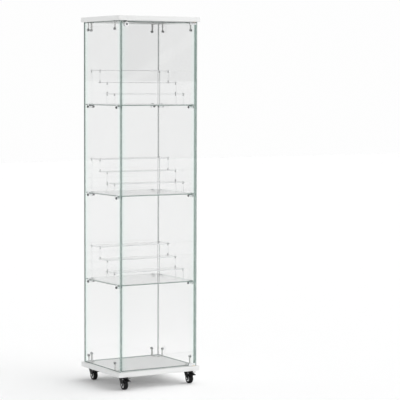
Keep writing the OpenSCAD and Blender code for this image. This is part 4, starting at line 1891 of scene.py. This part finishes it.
@dataclass(frozen=True)
class Caster(SubAssembly):
    """A swivel caster: a pressed fork, riveted pins, a two-part wheel and a brake pedal.

    The three outlines are drawn in Y and Z from the foot of the swivel axis, in millimetres.

    Attributes:
        crown: Radius, underside and top of the fork's crown.
        crown_bore: Radius of its bore for the stem.
        leg: Where the legs' inner and outer faces are, across from the swivel axis.
        trail: How far the wheel's axle lies behind the swivel axis.
        wheel: Radius of the wheel, and height of its axle.
        pedal_axis: Where the pedal's pin is.
        axle: Radius of the axle, and radius and height of its heads.
        pedal_pin: The same of the pedal's pin.
        hub: Radius and half the width of the hub.
        tyre: Half the width of the tyre.
        pedal_width: Width of the pedal between the legs, and beyond them.
        shoe: Radius of the brake shoe, and how far it lies from the pedal's pin.
        shoe_turn: How far it is turned back from the tyre at rest, in degrees.
        running_gap: Gap between a pin and what turns on it.
        rib_count: Ribs on each side of the hub.
        beads: Where the grip beads lie on the tread, as shares of its length.
        leg_outline: A leg's outline.
        leg_corners: Radii of its corners.
        tread: Outline of the pedal's tread.
        tab: Outline of its release tab.
    """

    crown: tuple[float, float, float] = (19.0 * MM, 49.0 * MM, 56.7 * MM)
    crown_bore: float = 4.05 * MM
    leg: tuple[float, float] = (10.7 * MM, 13.2 * MM)
    trail: float = 14.0 * MM
    wheel: float = 23.0 * MM
    pedal_axis: tuple[float, float] = (-25.0 * MM, 50.0 * MM)
    axle: tuple[float, float, float] = (3.0 * MM, 5.0 * MM, 2.5 * MM)
    pedal_pin: tuple[float, float, float] = (1.6 * MM, 2.8 * MM, 1.0 * MM)
    hub: tuple[float, float] = (14.0 * MM, 8.5 * MM)
    tyre: float = 9.5 * MM
    pedal_width: tuple[float, float] = (20.0 * MM, 26.0 * MM)
    shoe: tuple[float, float] = (1.8 * MM, 3.9 * MM)
    shoe_turn: float = 14.0
    running_gap: float = 0.05 * MM
    rib_count: int = 6
    beads: tuple[float, ...] = (0.2, 0.38, 0.56, 0.74)
    leg_outline: tuple = ((13, 50), (13, 56.7), (-25, 56.7), (-28.5, 50), (-21.5, 15.5), (-6.5, 15.5))
    leg_corners: tuple = (3, 1.3, 3, 5, 7.2, 7.2)
    tread: tuple = ((-25, 51), (-31, 49.6), (-52, 44), (-51, 41), (-31, 45.6), (-25, 46.5))
    tab: tuple = ((-25, 53.5), (-31, 54.6), (-50, 58), (-50, 55.5), (-31, 52), (-25, 50.5))

    def build(self, corner: str, stems: Sequence[Box]) -> None:
        """Builds the caster at one corner of the base.

        Args:
            corner: Which corner, as its nodes are named.
            stems: The boxes of the four stems, one of which is this caster's.
        """
        fork = Box.of(f"{corner}_fork")
        stem = min(stems, key=lambda box: float(np.linalg.norm((box.centre - fork.centre)[:2])))
        foot = Place(np.array([stem.centre[0], stem.centre[1], 0.0]), LYING)
        wheel = self.sideways(foot, -self.trail, self.wheel)
        pedal = self.sideways(foot, *self.pedal_axis)
        self.shop.add(f"{corner}_fork_body", self.fork(foot), f"{corner}_fork")
        pins = [self.pin(*self.axle).placed(wheel), self.pin(*self.pedal_pin).placed(pedal)]
        self.shop.add(f"{corner}_pins", joined(pins), f"{corner}_axle_pins")
        self.shop.add(f"{corner}_wheel_hub", self.wheel_hub().placed(wheel), f"{corner}_hub")
        self.shop.add(f"{corner}_wheel_tyre", self.wheel_tyre().placed(wheel), f"{corner}_tyre")
        self.shop.add(f"{corner}_brake_pedal", self.pedal(foot), f"{corner}_pedal")

    def sideways(self, foot: Place, y: float, z: float, x: float = 0.0) -> Place:
        """A place whose Z axis runs along X, at a point of the side view."""
        return foot.within((x, y, z), FACING_SIDE)

    def profile(
        self, foot: Place, outline: Sequence, radii: float | Sequence, half: float, edge: float,
        x: float = 0.0,
    ) -> Surface:
        """A plate drawn in the side view in millimetres, as thick as twice half, around x.

        Args:
            foot: The foot of the caster's swivel axis.
            outline: The outline, anticlockwise.
            radii: One radius for its corners, or one for each.
            half: Half the thickness.
            edge: Radius of the edges.
            x: Where the plate's middle is.

        Returns:
            The plate.
        """
        corners = np.array(outline) * MM
        drawn = plate(soften(corners, np.array(radii) * MM), 2 * half, edge, steps=3)
        return drawn.placed(self.sideways(foot, 0, 0, x))

    def fork(self, foot: Place) -> Surface:
        """The domed crown with a bore for the stem, and the two legs.

        Args:
            foot: The foot of the caster's swivel axis.

        Returns:
            The fork.
        """
        radius, low, high = self.crown
        bore = self.crown_bore
        corners = [
            (bore, low), (radius, low), (radius, low + 0.5 * (high - low)), (0.8 * radius, high),
            (bore, high)]
        crown = turned(corners, [0, 0.6 * MM, 1.6 * MM, 2.0 * MM, 0.3 * MM], 40, ring=True)
        inner, outer = self.leg
        legs = [
            self.profile(foot, self.leg_outline, self.leg_corners, (outer - inner) / 2, 0.5 * MM,
                         side * (outer + inner) / 2)
            for side in (-1, 1)]
        return joined([crown.placed(foot), *legs])

    def pin(self, radius: float, head_radius: float, head: float) -> Surface:
        """A pin through both legs with a domed head at each end.

        Args:
            radius: Radius of the pin.
            head_radius: Radius of its heads.
            head: Height of a head.

        Returns:
            The pin, around its own middle.
        """
        out = self.leg[1]
        end, domed = out + head, 0.7 * head_radius
        corners = [
            (0, -end), (domed, 0.25 * head - end), (head_radius, 0.75 * head - end),
            (head_radius, -out), (radius, -out), (radius, out), (head_radius, out),
            (head_radius, end - 0.75 * head), (domed, end - 0.25 * head), (0, end)]
        bend = 0.5 * head
        return turned(corners, [0, bend, bend / 2, 0, 0, 0, 0, bend / 2, bend, 0], 28)

    def wheel_hub(self) -> Surface:
        """The hub: a boss and a rim with a dished web between them, and ribs on both sides.

        Returns:
            The hub, around its own middle.
        """
        radius, half = self.hub
        bore = self.axle[0] + self.running_gap
        boss, web, lip = 0.42 * radius, 0.8 * half, 0.92 * radius
        right = [(radius, half), (lip, half), (lip, web), (boss, web), (boss, half), (bore, half)]
        left = [(r, -h) for r, h in right[::-1]]
        small = 0.5 * MM
        disc = turned(left + right, [0] + [small] * 4 + [0, 0] + [small] * 4 + [0], 40, ring=True)
        rib = plate(
            rectangle(boss - 0.5 * MM, -0.7 * MM, lip + 0.5 * MM, 0.7 * MM), half - web, 0.2 * MM,
            steps=1)
        ribs = []
        for side in (-1, 1):
            for turn in np.arange(self.rib_count) * TURN / self.rib_count:
                out = np.array([np.cos(turn), np.sin(turn), 0])
                ribs.append(rib.placed(Place.at(Z_WAY * side * (half + web) / 2, out, Z_WAY)))
        return joined([disc, *ribs])

    def wheel_tyre(self) -> Surface:
        """The tyre: rounded shoulders and two shallow grooves in the tread.

        Returns:
            The tyre, around its own middle.
        """
        inner, outer, half = self.hub[0], self.wheel, self.tyre
        deep, near, far = outer - 0.5 * MM, 2.4 * MM, 3.6 * MM
        right = [
            (deep, near), (deep, far), (outer, far + 0.3 * MM), (outer, half - 2.4 * MM),
            (outer - 2.4 * MM, half), (inner, half)]
        right = [(outer, near - 0.3 * MM), *right]
        left = [(r, -h) for r, h in right[::-1]]
        soft = [0.1 * MM, 0.1 * MM, 0.1 * MM, 0.2 * MM, 1.4 * MM, 1.2 * MM, 0.3 * MM]
        return turned(left + right, soft[::-1] + soft, 48, ring=True)

    def pedal(self, foot: Place) -> Surface:
        """The pedal: a hub on its pin, a tread and a release tab, and the shoe that brakes.

        Args:
            foot: The foot of the caster's swivel axis.

        Returns:
            The pedal.
        """
        inner, outer = (width / 2 for width in self.pedal_width)
        y, z = self.pedal_axis
        bore, radius = self.pedal_pin[0] + self.running_gap, 4.0 * MM
        soft = (0.4 * MM, 0.4 * MM)
        hub = round_bar(radius, -inner, inner, soft, 28, bore)
        shoe_radius, offset = self.shoe
        aim = np.arctan2(self.wheel - z, -self.trail - y) - np.radians(self.shoe_turn)
        half = self.hub[1]
        rod = round_bar(shoe_radius, -half, half, soft, 20)
        parts = [
            hub.placed(self.sideways(foot, y, z)),
            rod.placed(self.sideways(foot, y + offset * np.cos(aim), z + offset * np.sin(aim)))]
        for outline in (self.tread, self.tab):
            near = [outline[0], outline[1], outline[4], outline[5]]
            parts.append(self.profile(foot, near, 0.0, inner, 0.4 * MM))
            parts.append(self.profile(foot, outline[1:5], [0, 0.9, 0.9, 0], outer, 0.4 * MM))
        start, end = np.array(self.tread[1:3]) * MM
        reach = 0.85 * outer
        bead = round_bar(0.6 * MM, -reach, reach, (0.2 * MM, 0.2 * MM), 10)
        for share in self.beads:
            parts.append(bead.placed(self.sideways(foot, *(start + share * (end - start)))))
        return joined(parts)


@dataclass(frozen=True)
class CasterStems(SubAssembly):
    """The stems that the casters swivel on: a rivet head, a collar and a plain shank."""

    stem: float = 4.0 * MM
    rivet: float = 6.5 * MM
    rivet_height: float = 2.6 * MM
    collar_height: float = 3.0 * MM

    def build(self, stems: Sequence[Box], under: float) -> None:
        """Builds the four stems under the base board and dresses the inserts they screw into.

        Args:
            stems: The stems' boxes.
            under: Height of the board's underside.
        """
        parts = [self.one(box, under) for box in stems]
        self.shop.add("caster_stem_bolts", joined(parts), "caster_stems")
        self.shop.dress("caster_inserts")

    def one(self, box: Box, under: float) -> Surface:
        """One stem, with its collar against the board's underside.

        Args:
            box: The stem's box.
            under: Height of the board's underside.

        Returns:
            The stem.
        """
        low, high, collar = box.low[2], box.high[2], box.size[0] / 2
        stem, rivet, seat = self.stem, self.rivet, under - self.collar_height
        corners = [
            (0, low), (0.7 * rivet, low + 0.3 * MM), (rivet, low + 1.4 * MM),
            (rivet, low + self.rivet_height), (stem, low + self.rivet_height), (stem, seat),
            (collar, seat), (collar, under), (stem, under), (stem, high), (0, high)]
        radii = [0, 1.0 * MM, 0.6 * MM, 0, 0, 0, 0.5 * MM, 0, 0, 0.8 * MM, 0]
        axis = np.array([box.centre[0], box.centre[1], 0.0])
        return turned(corners, radii).placed(Place(axis, LYING))


@dataclass(frozen=True)
class Riser(SubAssembly):
    """A three-step display riser in clear acrylic: plates on posts, held by small screws."""

    edge: float = 0.4 * MM
    corner: float = 9.0 * MM
    hole: float = 2.0 * MM
    bore_depth: float = 8.0 * MM
    post_edge: float = 0.3 * MM
    screw_gap: float = 0.05 * MM

    def build(self, level: str) -> None:
        """Builds the riser on one shelf.

        Args:
            level: Which shelf, as its nodes are named.
        """
        screws = self.shop.solids(f"{level}_riser_screws")
        name = f"{level}_riser"
        tiers = [self.tier(box, screws) for box in self.shop.solids(f"{name}_tiers")]
        self.shop.add(
            f"{name}_plates", joined(tiers), f"{name}_tiers", rim="sawn_acrylic", smooth=20.0)
        posts = [self.post(box, screws) for box in self.shop.solids(f"{name}_posts")]
        self.shop.add(f"{name}_pillars", joined(posts), f"{name}_posts", smooth=30.0)
        heads = [standing_screw(box, self.hole - self.screw_gap, Recess.HEX) for box in screws]
        self.shop.add(
            f"{name}_fixings", joined(heads), f"{name}_screws", finish=FINISHES["smoked_caps"])

    def tier(self, box: Box, screws: Sequence[Box]) -> Surface:
        """A plate with round corners and a hole for each screw that goes through it.

        Args:
            box: The solid's box.
            screws: The boxes of the riser's screws.

        Returns:
            The plate.
        """
        through = [s for s in screws if (s.low < box.high).all() and (s.high > box.low).all()]
        spots = {tuple(np.round((s.centre - box.centre)[:2], 5)) for s in through}
        holes = [circle(self.hole, spot, 16) for spot in sorted(spots)]
        return slab(box, LYING, self.edge, self.corner, holes=holes, steps=1, side_rim=1.0)

    def post(self, box: Box, screws: Sequence[Box]) -> Surface:
        """A round post, bored at each end that a screw goes into.

        Args:
            box: The solid's box.
            screws: The boxes of the riser's screws.

        Returns:
            The post.
        """
        bored = []
        for level, from_top in ((box.high[2], True), (box.low[2], False)):
            reached = any(
                np.linalg.norm((s.centre - box.centre)[:2]) < self.hole
                and s.low[2] < level - MM * from_top and s.high[2] > level + MM * (not from_top)
                and s.low[2] < level < s.high[2]
                for s in screws)
            if reached:
                bored.append(Pocket(circle(self.hole, segments=16), self.bore_depth, from_top))
        rod = plate(
            circle(box.size[0] / 2, segments=28), box.size[2], self.post_edge, pockets=bored, steps=1)
        return rod.placed(Place(box.centre, LYING))


# The studio --------------------------------------------------------------------------------


@dataclass(frozen=True)
class Studio:
    """A pale floor, soft light and the camera.

    Attributes:
        background: How bright the air behind everything is, straight on or through glass.
        room: What mirrors see above the horizon: in front, to the left, and elsewhere.
        below: What they see below it.
        turn_rate: How soon the front and the left are reached, going round.
        ambient: How bright the room is for what is lit by it, overhead and near the horizon.
        streak: Way across a slanting strip of light that the door mirrors.
        streak_size: The strip's half width, its fade and its brightness.
        floor: The floor's colour.
        mottle: What the floor's faint mottle leaves of its colour.
        mottle_scale: Scale of the mottle.
        floor_width: How wide the floor is.
        key: Strength, softness in degrees and direction of the main light.
        eye: Where the camera is.
        yaw: How far it looks to the right of straight back, in degrees.
        pitch: How far it looks down, in degrees.
        roll: How far it is turned about its own axis, in degrees.
        lens: Focal length in millimetres.
        sensor: Width of the sensor in millimetres.
    """

    background: float = 0.988
    room: tuple[float, float, float] = (0.27, 0.92, 0.92)
    below: float = 0.96
    turn_rate: float = 1.6
    ambient: tuple[float, float] = (0.2, 1.5)
    floor: float = 0.915
    mottle: float = 0.995
    mottle_scale: float = 3.0
    floor_width: float = 40.0
    streak: tuple[float, float, float] = (-0.4967, -0.2687, 0.8253)
    streak_size: tuple[float, float, float] = (0.0022, 0.003, 0.5)
    key: tuple[float, float, tuple[float, float, float]] = (2.15, 84.0, (0.70, -0.18, 0.69))
    eye: tuple[float, float, float] = (-3.8176, -6.948, 1.408)
    yaw: float = 30.79
    pitch: float = 3.99
    roll: float = 0.175
    lens: float = 152.92
    sensor: float = 36.0

    def build(self, groups: Groups) -> None:
        """Builds the studio.

        Args:
            groups: The shared node groups.
        """
        scene = bpy.context.scene
        scene.view_settings.view_transform = "Standard"
        self.world(scene, groups)
        self.lay_floor()
        self.light()
        self.camera(scene)

    def world(self, scene: bpy.types.Scene, groups: Groups) -> None:
        """A plain pale backdrop, and a room with a level floor for what mirrors it.

        Camera rays, and those that only glass has let through, see the backdrop. What is lit by
        the room sees it fade from the horizon to overhead. Mirrors see its dim front, its left
        side and the slanting strip, and below the horizon a floor.

        Args:
            scene: The scene.
            groups: The shared node groups.
        """
        world = bpy.data.worlds.new("studio_world")
        scene.world = world
        world.use_nodes = True
        graph = Graph(world.node_tree)
        way = graph.node("ShaderNodeTexCoord").outputs["Generated"]
        apart = graph.node("ShaderNodeSeparateXYZ", {0: way})
        front, left, rest = self.room
        to_left, to_front = (
            graph.maths("MULTIPLY", apart.outputs[axis], -self.turn_rate, clamp=True)
            for axis in (0, 1))
        room = graph.mixed(to_left, (rest,) * 3, (left,) * 3)
        width, fade, bright = self.streak_size
        streak = Band(self.streak, 0.0, width, fade, (bright,) * 3)
        ahead = graph.mixed(streak.mask(graph, groups, way), (front,) * 3, streak.colour)
        room = graph.mixed(to_front, room, ahead)
        above = graph.maths("GREATER_THAN", apart.outputs[2], 0.0)
        path = graph.node("ShaderNodeLightPath").outputs
        lit = graph.maths("ADD", path["Diffuse Depth"], path["Is Diffuse Ray"], clamp=True)
        overhead, level = self.ambient
        soft = graph.mixed(apart.outputs[2], (level,) * 3, (overhead,) * 3)
        room = graph.mixed(lit, room, soft)
        around = graph.mixed(above, (self.below,) * 3, room)
        bounced = graph.maths("ADD", lit, path["Glossy Depth"], clamp=True)
        straight = graph.maths("MAXIMUM", path["Is Camera Ray"], path["Is Transmission Ray"])
        seen = graph.maths("MULTIPLY", straight, graph.maths("SUBTRACT", 1.0, bounced))
        colour = graph.mixed(seen, around, (self.background,) * 3)
        shader = graph.node("ShaderNodeBackground", {"Color": colour, "Strength": 1.0})
        graph.node("ShaderNodeOutputWorld", {0: shader.outputs[0]})

    def lay_floor(self) -> None:
        """A large, flat, matt floor."""
        half = self.floor_width / 2
        mesh = bpy.data.meshes.new("studio_floor")
        corners = np.column_stack([rectangle(-half, -half, half, half), np.zeros(4)])
        mesh.from_pydata(corners.tolist(), [], [(0, 1, 2, 3)])
        made, graph, where = new_material("studio_floor")
        noise = graph.node("ShaderNodeTexNoise", {"Vector": where, "Scale": self.mottle_scale})
        darker = self.mottle * self.floor
        shade = graph.mixed(noise.outputs[0], (self.floor,) * 3, (darker,) * 3)
        shader = graph.node("ShaderNodeBsdfDiffuse", {"Color": shade})
        graph.node("ShaderNodeOutputMaterial", {0: shader.outputs[0]})
        mesh.materials.append(made)
        floor = bpy.data.objects.new("studio_floor", mesh)
        bpy.context.scene.collection.objects.link(floor)

    def light(self) -> None:
        """One broad light from the right and a little in front."""
        strength, softness, way = self.key
        lamp = bpy.data.lights.new("key_light", "SUN")
        lamp.energy = strength
        lamp.angle = np.radians(softness)
        key = bpy.data.objects.new("key_light", lamp)
        key.rotation_euler = Vector(way).to_track_quat("Z", "Y").to_euler()
        bpy.context.scene.collection.objects.link(key)

    def camera(self, scene: bpy.types.Scene) -> None:
        """The camera, turned about the upright, then down, then about its own axis.

        Args:
            scene: The scene.
        """
        yaw, pitch, roll = np.radians([self.yaw, self.pitch, self.roll])
        ahead = np.array([np.sin(yaw) * np.cos(pitch), np.cos(yaw) * np.cos(pitch), -np.sin(pitch)])
        level = np.array([np.cos(yaw), -np.sin(yaw), 0.0])
        upright = np.cross(level, ahead)
        right = np.cos(roll) * level + np.sin(roll) * upright
        axes = np.column_stack([right, np.cross(right, ahead), -ahead])
        lens = bpy.data.cameras.new("camera")
        lens.sensor_width, lens.lens = self.sensor, self.lens
        camera = bpy.data.objects.new("camera", lens)
        camera.matrix_world = Matrix.LocRotScale(self.eye, Matrix(axes).to_quaternion(), None)
        scene.collection.objects.link(camera)
        scene.camera = camera


# Everything in order -----------------------------------------------------------------------


def main() -> None:
    """Builds every sub-assembly, then the studio."""
    logging.basicConfig(level=logging.INFO, format="%(message)s")
    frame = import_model()
    shop = Workshop.open(frame)
    Boards(shop).build()
    GlassWork(shop).build()
    CornerBrackets(shop).build()
    ShelfClips(shop).build()
    DoorClamps(shop).build()
    CamLock(shop).build()
    stems = shop.solids("caster_stems")
    CasterStems(shop).build(stems, float(Box.of("base_board").low[2]))
    for corner in ("front_left", "front_right", "rear_left", "rear_right"):
        Caster(shop).build(corner, stems)
    for level in ("upper", "middle", "lower"):
        Riser(shop).build(level)
    Studio().build(shop.groups)


if __name__ == "__main__":
    main()
